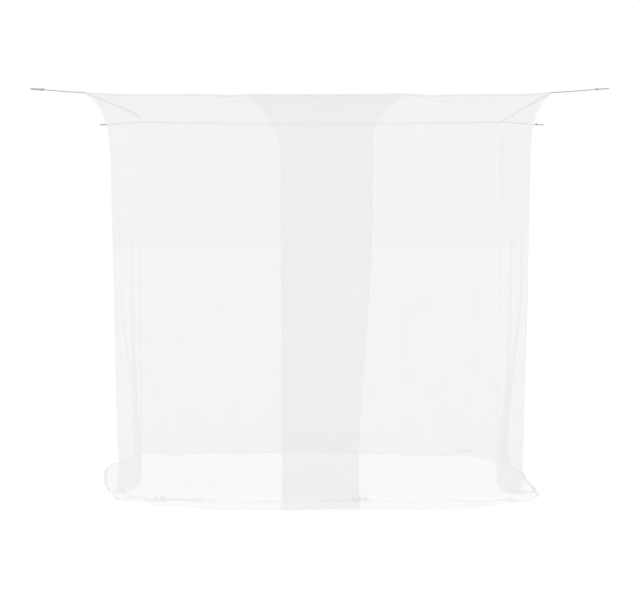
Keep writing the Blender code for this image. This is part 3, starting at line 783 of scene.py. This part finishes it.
def direction_at(rows, j, k):
    """(outward direction, direction along the ring) of a point. In the top row the first is level."""
    row = rows[j]
    back, ahead = row[k - 1], row[(k + 1) % len(row)]
    normal = (ahead - back).cross(rows[max(j - 1, 0)][k] - rows[min(j + 1, len(rows) - 1)][k])
    if j == 0:
        normal.z = 0.0
    return normal.normalized(), (ahead - back).normalized()


# --- Materials ---
def math_node(tree, operation, first, second=None):
    node = tree.nodes.new("ShaderNodeMath")
    node.operation = operation
    for socket, value in zip(node.inputs, (first, second)):
        if value is None:
            continue
        if isinstance(value, (int, float)):
            socket.default_value = value
        else:
            tree.links.new(value, socket)
    return node.outputs[0]


def vector_node(tree, operation, first, second):
    node = tree.nodes.new("ShaderNodeVectorMath")
    node.operation = operation
    for socket, value in zip(node.inputs, (first, second)):
        if isinstance(value, tuple):
            socket.default_value = value
        else:
            tree.links.new(value, socket)
    return node.outputs[0]


def map_range(tree, value, low, high, to_low, to_high):
    node = tree.nodes.new("ShaderNodeMapRange")
    node.interpolation_type = "SMOOTHSTEP"
    tree.links.new(value, node.inputs["Value"])
    for name, number in (("From Min", low), ("From Max", high), ("To Min", to_low), ("To Max", to_high)):
        node.inputs[name].default_value = number
    return node.outputs["Result"]


def sine(tree, value, length):
    """A wave of the given length along a value in metres."""
    return math_node(tree, "SINE", math_node(tree, "MULTIPLY", value, 2 * math.pi / length))


def noise(tree, vector, scale, detail=2.0, output="Fac"):
    node = tree.nodes.new("ShaderNodeTexNoise")
    node.inputs["Scale"].default_value = scale
    node.inputs["Detail"].default_value = detail
    tree.links.new(vector, node.inputs["Vector"])
    return node.outputs[output]


def mottle(tree, vector, scale, low, high, detail=2.0):
    """A noise that wanders between two values."""
    return map_range(tree, noise(tree, vector, scale, detail), NOISE_LOW, NOISE_HIGH, low, high)


def mix_colour(tree, share, first, second):
    node = tree.nodes.new("ShaderNodeMix")
    node.data_type = "RGBA"
    tree.links.new(share, node.inputs["Factor"])
    for socket, value in ((node.inputs[6], first), (node.inputs[7], second)):
        if isinstance(value, tuple):
            socket.default_value = (*value, 1.0)
        else:
            tree.links.new(value, socket)
    return node.outputs[2]


def toned(colour, share):
    return tuple(channel * share for channel in colour)


def new_material(name):
    made = bpy.data.materials.new(name)
    made.use_nodes = True
    return made, made.node_tree, made.node_tree.nodes["Principled BSDF"]


def add_bump(tree, shader, height, distance, strength):
    node = tree.nodes.new("ShaderNodeBump")
    node.inputs["Distance"].default_value = distance
    node.inputs["Strength"].default_value = strength
    tree.links.new(height, node.inputs["Height"])
    tree.links.new(node.outputs["Normal"], shader.inputs["Normal"])


def flat_layout(tree):
    """The flat layout in metres, from the UV map."""
    node = tree.nodes.new("ShaderNodeUVMap")
    node.uv_map = "cloth"
    return node.outputs["UV"]


def split(tree, vector):
    """(x, y) of a vector."""
    node = tree.nodes.new("ShaderNodeSeparateXYZ")
    tree.links.new(vector, node.inputs["Vector"])
    return node.outputs["X"], node.outputs["Y"]


def attribute(tree, name):
    node = tree.nodes.new("ShaderNodeAttribute")
    node.attribute_name = name
    return node.outputs["Fac"]


def honeycomb(tree, flat_x, flat_y):
    """Three waves at 120 degrees: lowest along a honeycomb of threads, highest in its holes."""
    rate = 4 * math.pi / (math.sqrt(3) * NET_PITCH)
    total = None
    for degrees in (0, 120, 240):
        turn = math.radians(degrees)
        x = math_node(tree, "MULTIPLY", flat_x, rate * math.cos(turn))
        y = math_node(tree, "MULTIPLY", flat_y, rate * math.sin(turn))
        threads = math_node(tree, "COSINE", math_node(tree, "ADD", x, y))
        total = threads if total is None else math_node(tree, "ADD", total, threads)
    return total


def net_material():
    """Knitted net: a honeycomb of fine threads with open holes, closer in its seams and its turned hems."""
    made, tree, shader = new_material("net_cloth")
    flat = flat_layout(tree)
    # The knit isn't quite even: its courses wander by a part of a hole.
    drift = noise(tree, flat, 1 / DRIFT_SIZE, detail=1.0, output="Color")
    aside = vector_node(tree, "SUBTRACT", drift, (0.5, 0.5, 0.5))
    aside = vector_node(tree, "MULTIPLY", aside, (DRIFT, DRIFT, 0.0))
    x, y = split(tree, vector_node(tree, "ADD", flat, aside))
    waves = honeycomb(tree, x, y)

    to_hem, to_edge, to_seam = (attribute(tree, name) for name in ("to_hem", "to_edge", "to_seam"))
    in_hem = map_range(tree, to_hem, HEM_WIDTH * 0.95, HEM_WIDTH * 1.05, HEM_GROWS, 0.0)
    in_edge = map_range(tree, to_edge, EDGE_WIDTH * 0.9, EDGE_WIDTH * 1.1, EDGE_GROWS, 0.0)
    in_seam = map_range(tree, to_seam, SEAM_WIDTH * 0.8, SEAM_WIDTH * 1.2, SEAM_GROWS, 0.0)
    grown = math_node(tree, "MAXIMUM", in_hem, math_node(tree, "MAXIMUM", in_edge, in_seam))

    # The yarn is a little thicker in some courses than in others.
    uneven = mottle(tree, flat, 220.0, -0.10, 0.10)
    limit = math_node(tree, "ADD", math_node(tree, "ADD", uneven, grown), NET_THREAD)
    below = math_node(tree, "SUBTRACT", limit, waves)
    cover = map_range(tree, below, -THREAD_EDGE, THREAD_EDGE, 0.0, 1.0)
    tree.links.new(cover, shader.inputs["Alpha"])

    # Lock stitches run along the top of the hem and up the narrow one.
    to_hem_line = math_node(tree, "ABSOLUTE", math_node(tree, "SUBTRACT", to_hem, HEM_WIDTH * 0.8))
    to_edge_line = math_node(tree, "ABSOLUTE", math_node(tree, "SUBTRACT", to_edge, EDGE_WIDTH * 0.7))
    nearest = math_node(tree, "MINIMUM", to_hem_line, to_edge_line)
    on_line = map_range(tree, nearest, 0.0005, 0.0009, 1.0, 0.0)
    dash = sine(tree, math_node(tree, "ADD", x, y), STITCH)
    stitch = math_node(tree, "MULTIPLY", on_line, map_range(tree, dash, -0.5, 0.0, 0.0, 1.0))

    # Painted shade: the threads are darker towards their edges than along their crowns, and darker again where they
    # lie in layers, in the hems, the narrow edges and the seams.
    painted_crown_light = map_range(tree, below, 0.0, 1.2, 0.0, 1.0)
    yarn = mix_colour(tree, painted_crown_light, toned(NET_WHITE, 0.97), NET_WHITE)
    yarn = mix_colour(tree, mottle(tree, flat, 900.0, 0.0, 0.4), yarn, toned(NET_WHITE, 0.93))
    # painted shade where the cloth lies in layers
    yarn = mix_colour(tree, map_range(tree, grown, 0.0, HEM_GROWS, 0.0, 1.0), yarn, HEM_PAINTED_SHADE)
    yarn = mix_colour(tree, stitch, yarn, toned(NET_WHITE, 0.80))
    tree.links.new(yarn, shader.inputs["Base Color"])
    tree.links.new(mottle(tree, flat, 60.0, 0.82, 0.96), shader.inputs["Roughness"])
    shader.inputs["Sheen Weight"].default_value = 0.5
    shader.inputs["Specular IOR Level"].default_value = 0.25
    height = math_node(tree, "SUBTRACT", math_node(tree, "MULTIPLY", stitch, -1.0), waves)
    add_bump(tree, shader, height, 0.00008, 0.5)
    return made


def tape_material():
    """Woven tape: fine ribs across it, with painted shade in the hollows of the weave, and a row of stitches along
    each side.
    """
    made, tree, shader = new_material("binding_tape")
    flat = flat_layout(tree)
    along, up = split(tree, flat)
    weave = math_node(tree, "MULTIPLY", sine(tree, along, TAPE_RIB), sine(tree, up, TAPE_PICK))
    off_middle = math_node(tree, "ABSOLUTE", math_node(tree, "SUBTRACT", up, BINDING_HEIGHT / 2))
    to_line = math_node(tree, "ABSOLUTE", math_node(tree, "SUBTRACT", off_middle, BINDING_HEIGHT * 0.30))
    on_line = map_range(tree, to_line, 0.0004, 0.0008, 1.0, 0.0)
    dash = sine(tree, along, TAPE_STITCH)
    stitch = math_node(tree, "MULTIPLY", on_line, map_range(tree, dash, -0.4, 0.1, 0.0, 1.0))
    worn = mottle(tree, flat, 18.0, 0.0, 0.5, detail=3.0)
    # painted shade: darker in the hollows of the weave
    painted_weave_shade = map_range(tree, weave, -1.0, 1.0, 0.25, 0.0)
    base = mix_colour(tree, worn, TAPE_WHITE, toned(TAPE_WHITE, 0.92))
    base = mix_colour(tree, painted_weave_shade, base, toned(TAPE_WHITE, 0.80))
    base = mix_colour(tree, stitch, base, toned(TAPE_WHITE, 0.75))
    tree.links.new(base, shader.inputs["Base Color"])
    tree.links.new(map_range(tree, weave, -1.0, 1.0, 0.92, 0.78), shader.inputs["Roughness"])
    shader.inputs["Sheen Weight"].default_value = 0.1
    height = math_node(tree, "SUBTRACT", weave, math_node(tree, "MULTIPLY", stitch, 2.0))
    add_bump(tree, shader, height, 0.00012, 0.7)
    return made


def cord_material():
    """Twisted cotton: fine fibres along each strand, with painted shade in the grooves between them."""
    made, tree, shader = new_material("cord_cotton")
    flat = flat_layout(tree)
    across, _ = split(tree, flat)
    fuzz = noise(tree, flat, 420.0, 3.0)
    dull = map_range(tree, fuzz, NOISE_LOW, NOISE_HIGH, 0.0, 0.6)
    # painted shade in the grooves between the strands
    painted_groove_shade = map_range(tree, attribute(tree, "groove"), 0.35, 1.0, 0.0, 0.7)
    # the base colour holds painted shade of the whole cord
    base = mix_colour(tree, dull, CORD_SHADED_GREY, toned(CORD_SHADED_GREY, 0.88))
    base = mix_colour(tree, painted_groove_shade, base, toned(CORD_SHADED_GREY, 0.55))
    tree.links.new(base, shader.inputs["Base Color"])
    tree.links.new(map_range(tree, fuzz, NOISE_LOW, NOISE_HIGH, 0.8, 0.97), shader.inputs["Roughness"])
    shader.inputs["Sheen Weight"].default_value = 0.2
    height = math_node(tree, "ADD", sine(tree, across, CORD_FIBRE), math_node(tree, "MULTIPLY", fuzz, 2.0))
    add_bump(tree, shader, height, 0.00008, 0.8)
    return made


def floor_material():
    made, tree, shader = new_material("studio_floor")
    place = tree.nodes.new("ShaderNodeTexCoord").outputs["Object"]
    worn = mottle(tree, place, 1.2, 0.0, 0.4, detail=3.0)
    base = mix_colour(tree, worn, FLOOR_WHITE, toned(FLOOR_WHITE, 0.985))
    tree.links.new(base, shader.inputs["Base Color"])
    shader.inputs["Roughness"].default_value = 0.9
    shader.inputs["Specular IOR Level"].default_value = 0.1
    shader.inputs["Emission Color"].default_value = (1.0, 1.0, 1.0, 1.0)
    shader.inputs["Emission Strength"].default_value = FLOOR_GLOW
    return made


# --- Meshes ---
def link(name, mesh, finish):
    made = bpy.data.objects.new(name, mesh)
    bpy.context.scene.collection.objects.link(made)
    mesh.materials.append(finish)
    return made


def new_mesh(name, vertices, faces, layout):
    """A smooth mesh whose UV map is its flat layout in metres, given for each vertex."""
    mesh = bpy.data.meshes.new(name)
    mesh.from_pydata([tuple(vertex) for vertex in vertices], [], faces)
    flat = mesh.uv_layers.new(name="cloth")
    for face_corner in mesh.loops:
        flat.data[face_corner.index].uv = layout[face_corner.vertex_index]
    mesh.shade_smooth()
    return mesh


def sheet_mesh(name, grid, layout_at, distances):
    """A sheet of net through a grid of points, as one surface, since its threads are seen from both sides.
    Each of distances gives, by row and column, how far a point is from a hem, a free edge or a seam."""
    rows = len(grid)
    columns = len(grid[0])
    places = [(j, i) for j in range(rows) for i in range(columns)]
    faces = []
    for j in range(rows - 1):
        for i in range(columns - 1):
            a = j * columns + i
            faces.append((a, a + columns, a + columns + 1, a + 1))
    points = [point for row in grid for point in row]
    mesh = new_mesh(name, points, faces, [layout_at(*place) for place in places])
    for title, distance in distances.items():
        values = mesh.attributes.new(title, "FLOAT", "POINT")
        values.data.foreach_set("value", [distance(*place) for place in places])
    mesh.set_sharp_from_angle(angle=SHARP)
    return mesh


def lengths_along(points):
    """Distance from the first point to each one, along the line."""
    total, found = 0.0, [0.0]
    for a, b in zip(points, points[1:]):
        total += (b - a).length
        found.append(total)
    return found


def layer_offset(column, down):
    """How far the front right panel stands in front of the left one's surface."""
    beyond = max(column - FRONT_COLUMNS[1], 0) / FRONT_COLUMNS[2]
    return between(LAYER_TOP, LAYER, smooth(down / LAYER_EASE)) * (1 - smooth(beyond / LAYER_FADE))


def panel(name, rows, first, count, finish, free_start, free_end, layered):
    """The stretch of the ring from station first, count columns wide, as a sheet with a turned hem."""
    middle = [row[(first + count // 2) % len(row)] for row in rows]
    flat_y = lengths_along(middle)
    reference = rows[len(rows) // 3]  # well below the bow of the top edge
    flat_x = lengths_along([reference[(first + i) % len(reference)] for i in range(count + 1)])
    width, height = flat_x[-1], flat_y[-1]

    def to_hem(j, i):
        return height - flat_y[j]

    def to_sides(i, start, end):
        return min(flat_x[i] if start else 1.0, width - flat_x[i] if end else 1.0)

    def to_edge(j, i):
        return to_sides(i, free_start, free_end)

    def to_seam(j, i):
        return min(to_sides(i, not free_start, not free_end), flat_y[j])

    def layout_at(j, i):
        # The outer flap's net is cut the other way of the cloth.
        return (flat_y[j], flat_x[i]) if layered else (flat_x[i], flat_y[j])

    grid = []
    for j, down in enumerate(heights()):
        grid_row = []
        for i in range(count + 1):
            k = (first + i) % len(rows[j])
            normal, way = direction_at(rows, j, k)
            point = rows[j][k].copy()
            if layered:
                point += normal * layer_offset(i, down)
            if i == 0:
                point += way * (GAP / 2)
            if i == count:
                point -= way * (GAP / 2)
            grid_row.append(point)
        grid.append(grid_row)
    distances = {"to_hem": to_hem, "to_edge": to_edge, "to_seam": to_seam}
    return link(name, sheet_mesh(name, grid, layout_at, distances), finish)


def top_line():
    """The binding's middle line, all round: (point, direction outwards, half turn, direction along)."""
    points = []
    for wall in WALLS:
        for along in wall_places(wall, 0.0)[:-1]:
            plan, out = on_wall(wall, along, 0.0)
            plan = plan - out * bow(wall, along)
            points.append(Vector((plan.x, plan.y, top_height(wall, along))))
    found = []
    for k, point in enumerate(points):
        back, ahead = points[k - 1], points[(k + 1) % len(points)]
        before, after = (point - back).to_2d().normalized(), (ahead - point).to_2d().normalized()
        way = (before + after).normalized()
        out = Vector((way.y, -way.x, 0.0))
        found.append((point, out, before.angle(after) / 2, way.to_3d()))
    return found


def roof(line, starts, finish):
    """The roof: a sheet that sags between its four bound edges, with slack ripples near them."""
    front = sum(FRONT_COLUMNS)
    side = SIDE_COLUMNS
    inset = BINDING_WIDTH / 2 + GAP
    edge = []
    for point, out, half_turn, _ in line:
        edge.append(point - out * (inset / math.cos(half_turn)) + Vector((0.0, 0.0, ROOF_LIFT)))
    size = len(edge)
    south = [edge[starts["front"] + i] for i in range(front + 1)]
    east = [edge[starts["right"] + j] for j in range(side + 1)]
    north = [edge[(starts["back"] + front - i) % size] for i in range(front + 1)]
    west = [edge[(starts["left"] + side - j) % size] for j in range(side + 1)]
    places = front_places(0.0)
    grid = []
    for j in range(side + 1):
        v = j / side
        row = []
        for i in range(front + 1):
            u = places[i]
            across = between(west[j], east[j], u)
            deep = between(south[i], north[i], v)
            corners = between(between(south[0], south[-1], u), between(north[0], north[-1], u), v)
            point = across + deep - corners
            free = (1 - abs(2 * u - 1) ** ROOF_CURVE) * (1 - abs(2 * v - 1) ** ROOF_CURVE)
            slack = sum(depth * math.sin(a * u + b * v + phase) for depth, a, b, phase in ROOF_SLACK)
            point.z -= (ROOF_SAG + slack) * free
            row.append(point)
        grid.append(row)
    flat_x = lengths_along(grid[side // 2])
    flat_y = lengths_along([row[front // 2] for row in grid])

    def to_seam(j, i):
        return min(flat_x[i], flat_x[-1] - flat_x[i], flat_y[j], flat_y[-1] - flat_y[j])

    def far(j, i):
        return 1.0

    def layout_at(j, i):
        return flat_x[i], flat_y[j]

    mesh = sheet_mesh("roof_net", grid, layout_at, {"to_hem": far, "to_edge": far, "to_seam": to_seam})
    mesh.flip_normals()
    return link("roof_net", mesh, finish)


def tape_sections(line, first, count):
    """(outer, inner) points of the tape's sections, its ends mitred and cut square to the cords."""
    sections = []
    for i in range(count + 1):
        point, out, half_turn, way = line[(first + i) % len(line)]
        if i not in (0, count):
            sections.append((point + out * (BINDING_WIDTH / 2), point - out * (BINDING_WIDTH / 2)))
            continue
        inner = point - out * (BINDING_WIDTH / 2 / math.cos(half_turn))
        cut = BINDING_WIDTH / 2 * math.cos(half_turn) - TIP_CUT * math.sin(half_turn)
        sign = 1 if i == 0 else -1
        ease = way * (sign * GAP / 2)
        tip = (point + out * cut + ease, inner + ease)
        neighbour = line[(first + i + sign) % len(line)][0]
        along = neighbour - point
        along.z = 0.0
        along.normalize()
        side = Vector((along.y, -along.x, 0.0)) * sign
        outer = point + along * TIP_CUT + side * (BINDING_WIDTH / 2)
        back = (outer, inner + along * (BINDING_WIDTH / 2))
        sections += [tip, back] if i == 0 else [back, tip]
    return sections


def tube_faces(rings, sides):
    """The faces of a closed tube of rings with the given number of sides."""
    faces = []
    for s in range(rings - 1):
        a = s * sides
        for k in range(sides):
            n = (k + 1) % sides
            faces.append((a + k, a + n, a + sides + n, a + sides + k))
    last = (rings - 1) * sides
    return faces + [tuple(reversed(range(sides))), tuple(range(last, last + sides))]


def tape(name, line, first, count, finish):
    """A folded tape sewn over the seam, a little puckered by its stitches."""
    sections = tape_sections(line, first, count)
    middles = [between(outer, inner, 0.5) for outer, inner in sections]
    run = lengths_along(middles)
    half = list(TAPE_SECTION) + [(side, 1 - high) for side, high in reversed(TAPE_SECTION[:-1])]
    outline = half + [(-side, high) for side, high in reversed(half)]
    vertices = []
    layout = []
    for (outer, inner), middle, far in zip(sections, middles, run):
        pucker = 1 + sum(share * wave(far, length) for share, length in TAPE_PUCKERS)
        for side, high in outline:
            wide = side if abs(side) > TAPE_FOLD else side * pucker
            base = between(middle, outer if wide > 0 else inner, min(abs(wide), 1.0))
            vertices.append(base + Vector((0.0, 0.0, BINDING_HEIGHT * (high - 0.5))))
            layout.append((far, BINDING_HEIGHT * high))
    mesh = new_mesh(name, vertices, tube_faces(len(sections), len(outline)), layout)
    mesh.set_sharp_from_angle(angle=SHARP)
    return link(name, mesh, finish)


# --- Cords ---
def cord_route(name, line, starts):
    """The cord's own few points: out of the tip along its corner, then in a shallow sag to its end."""
    wall = next(wall for wall in WALLS if WALLS[wall][0] == name)
    point, out, half_turn, _ = line[starts[wall]]
    start = point + out * (BINDING_WIDTH / 2 * math.cos(half_turn) - TIP_CUT * math.sin(half_turn) + GAP)
    x, y, rise = CORD_ENDS[name]
    end = Vector((x, y, TOP + rise))
    route = [start, start + out * CORD_STARTS]
    for share in CORD_PLACES:
        on_line = between(route[1], end, share)
        on_line.z -= CORD_SAG * 4 * share * (1 - share)
        route.append(on_line)
    return route


def through(route, step):
    """Points about step apart on a smooth curve through the route's points."""
    ends = [2 * route[0] - route[1]] + route + [2 * route[-1] - route[-2]]
    found = [route[0]]
    for k in range(1, len(ends) - 2):
        p0, p1, p2, p3 = ends[k - 1 : k + 3]
        pieces = max(round((p2 - p1).length / step), 1)
        for i in range(1, pieces + 1):
            t = i / pieces
            square = (2 * p0 - 5 * p1 + 4 * p2 - p3) * t**2
            cube = (3 * p1 - 3 * p2 + p3 - p0) * t**3
            found.append(0.5 * (2 * p1 + (p2 - p0) * t + square + cube))
    return found


def twisted(points, radius):
    """(vertices, faces, layout, grooves) of a cord of twisted strands along a line of points."""
    run = lengths_along(points)
    up = Vector((0.0, 0.0, 1.0))
    vertices, layout, grooves = [], [], []
    for s, point in enumerate(points):
        way = (points[min(s + 1, len(points) - 1)] - points[max(s - 1, 0)]).normalized()
        side = way.cross(up)
        side.normalize()
        rise = side.cross(way)
        for k in range(CORD_SIDES):
            angle = 2 * math.pi * k / CORD_SIDES
            strand = (angle + 2 * math.pi * run[s] / LAY) * STRANDS / 2
            groove = 1 - abs(math.cos(strand))
            reach = radius * (1 - GROOVE_DEPTH * groove**2)
            vertices.append(point + (side * math.cos(angle) + rise * math.sin(angle)) * reach)
            layout.append((angle * radius + run[s] * FIBRE_SLANT, run[s]))
            grooves.append(groove)
    return vertices, tube_faces(len(points), CORD_SIDES), layout, grooves


def twisted_object(name, lines, finish):
    """One object of several twisted cords. lines holds (points, radius) for each."""
    vertices, faces, layout, grooves = [], [], [], []
    for points, radius in lines:
        first = len(vertices)
        new_vertices, new_faces, new_layout, new_grooves = twisted(points, radius)
        vertices += new_vertices
        faces += [tuple(first + v for v in face) for face in new_faces]
        layout += new_layout
        grooves += new_grooves
    mesh = new_mesh(name, vertices, faces, layout)
    mesh.attributes.new("groove", "FLOAT", "POINT").data.foreach_set("value", grooves)
    return link(name, mesh, finish)


def knotted_loop(name, end, way, finish):
    """The cord's end turned back into a loop, with turns of cord wound round its legs as the knot."""
    level = Vector((-way.y, way.x, 0.0))
    upright = Vector((0.0, 0.0, 1.0))
    side = level * math.cos(LOOP_TILT) + upright * math.sin(LOOP_TILT)
    up = upright * math.cos(LOOP_TILT) - level * math.sin(LOOP_TILT)
    centre = end + way * (GAP + KNOT[0])
    legs = []
    for i in range(LOOP_STEPS + 1):
        angle = LOOP_SWEEP * (2 * i / LOOP_STEPS - 1)
        run = LOOP_LENGTH * (math.cos(angle) - math.cos(LOOP_SWEEP)) / (1 - math.cos(LOOP_SWEEP))
        legs.append(centre + way * run + side * (LOOP_WIDTH / 2 * math.sin(angle)))
    turns = []
    half_length, half_width, half_height = (half - KNOT_CORD for half in KNOT)
    for i in range(KNOT_STEPS + 1):
        share = i / KNOT_STEPS
        angle = 2 * math.pi * KNOT_TURNS * share
        run = between(-half_length, half_length, share)
        across = half_width * math.cos(angle)
        high = half_height * math.sin(angle)
        turns.append(centre + way * run + side * across + up * high)
    return twisted_object(name, [(legs, CORD / 2), (turns, KNOT_CORD)], finish)


# --- The scene ---
def camera():
    data = bpy.data.cameras.new("camera")
    data.sensor_width = SENSOR_MM
    data.lens = LENS_MM
    made = bpy.data.objects.new("camera", data)
    made.location = CAMERA_AT
    made.rotation_euler = (Vector(CAMERA_TARGET) - Vector(CAMERA_AT)).to_track_quat("-Z", "Y").to_euler()
    bpy.context.scene.collection.objects.link(made)
    bpy.context.scene.camera = made


def light():
    world = bpy.data.worlds.new("studio")
    bpy.context.scene.world = world
    world.use_nodes = True
    background = world.node_tree.nodes["Background"]
    background.inputs["Color"].default_value = (1.0, 1.0, 1.0, 1.0)
    background.inputs["Strength"].default_value = WORLD_LIGHT
    data = bpy.data.lights.new("softbox", "AREA")
    data.shape = "DISK"
    data.size = SOFTBOX_SIZE
    data.energy = SOFTBOX_WATTS
    made = bpy.data.objects.new("softbox", data)
    made.location = SOFTBOX_AT
    bpy.context.scene.collection.objects.link(made)
    bpy.context.scene.view_settings.view_transform = "Standard"
    bpy.context.scene.cycles.transparent_max_bounces = SEEN_THROUGH


def floor():
    mesh = bpy.data.meshes.new("floor")
    half = FLOOR_SIZE / 2
    corners = [(-half, -half, 0), (half, -half, 0), (half, half, 0), (-half, half, 0)]
    mesh.from_pydata(corners, [], [(0, 1, 2, 3)])
    made = link("floor", mesh, floor_material())
    made.location.z = -FLOOR_DROP
    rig.stage(made)


def settle(piece, node, slot):
    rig.ride(piece, "root")
    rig.replaces(piece, node)
    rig.slot(piece, slot)
    return piece


def cords(line, starts):
    cotton = cord_material()
    for name in CORNERS:
        points = through(cord_route(name, line, starts), CORD_STEP)
        way = points[-1] - points[-2]
        way.z = 0.0
        knot = knotted_loop("cord_loop_" + name, points[-1], way.normalized(), cotton)
        settle(knot, "loop_" + name, "cord")
        tie = settle(twisted_object("cord_" + name, [(points, CORD / 2)], cotton), "tie_" + name, "cord")
        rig.cord(
            tie,
            exit=points[0],
            length=lengths_along(points)[-1],
            diameter=CORD,
            far_end="knot",
            stiffness="medium",
            lay="taut",
            path=points,
            with_pieces=[knot],
        )


def cloth(line, rows, outer_rows, starts):
    net = net_material()
    woven = tape_material()
    left, overlap, right = FRONT_COLUMNS
    front = left + overlap + right
    tapes = []
    for wall in WALLS:
        count = front if wall in ("front", "back") else SIDE_COLUMNS
        piece = tape("tape_" + wall, line, starts[wall], count, woven)
        tapes.append(settle(piece, "binding_" + wall, "binding_tape"))
    top = settle(roof(line, starts, net), "roof_panel", "roof_net")
    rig.sheet(top, flat=(2.20, 2.00), held="stretched", rests_on=[t.name for t in tapes], with_pieces=tapes)

    pieces = (
        # (piece, node, first station, columns, free start, free end, flat size)
        ("left_flap", "front_left_panel", 0, left + overlap, False, True, (1.51, 2.20)),
        ("right_flap", "front_right_panel", left, overlap + right, True, False, (1.43, 2.22)),
        ("right_net", "right_wall", starts["right"], SIDE_COLUMNS, False, False, (2.00, 2.02)),
        ("back_net", "back_wall", starts["back"], front, False, False, (2.11, 2.06)),
        ("left_net", "left_wall", starts["left"], SIDE_COLUMNS, False, False, (2.00, 2.02)),
    )
    for name, node, first, count, free_start, free_end, flat in pieces:
        layered = name == "right_flap"
        grid = outer_rows if layered else rows
        piece = panel(name, grid, first, count, net, free_start, free_end, layered)
        settle(piece, node, "wall_net")
        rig.sheet(piece, flat=flat, held="hung", rests_on=["tape_" + node.split("_")[0]])


def main():
    camera()
    light()
    floor()
    rows, starts = ring(outer=False)
    outer_rows, _ = ring(outer=True)
    line = top_line()
    cords(line, starts)
    cloth(line, rows, outer_rows, starts)
    sizes = {
        "cad_box": [list(point) for point in CAD_BOX],
        "visual_box": [list(point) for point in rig.bounds()],
    }
    with open("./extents.json", "w") as out:
        json.dump(sizes, out)


main()
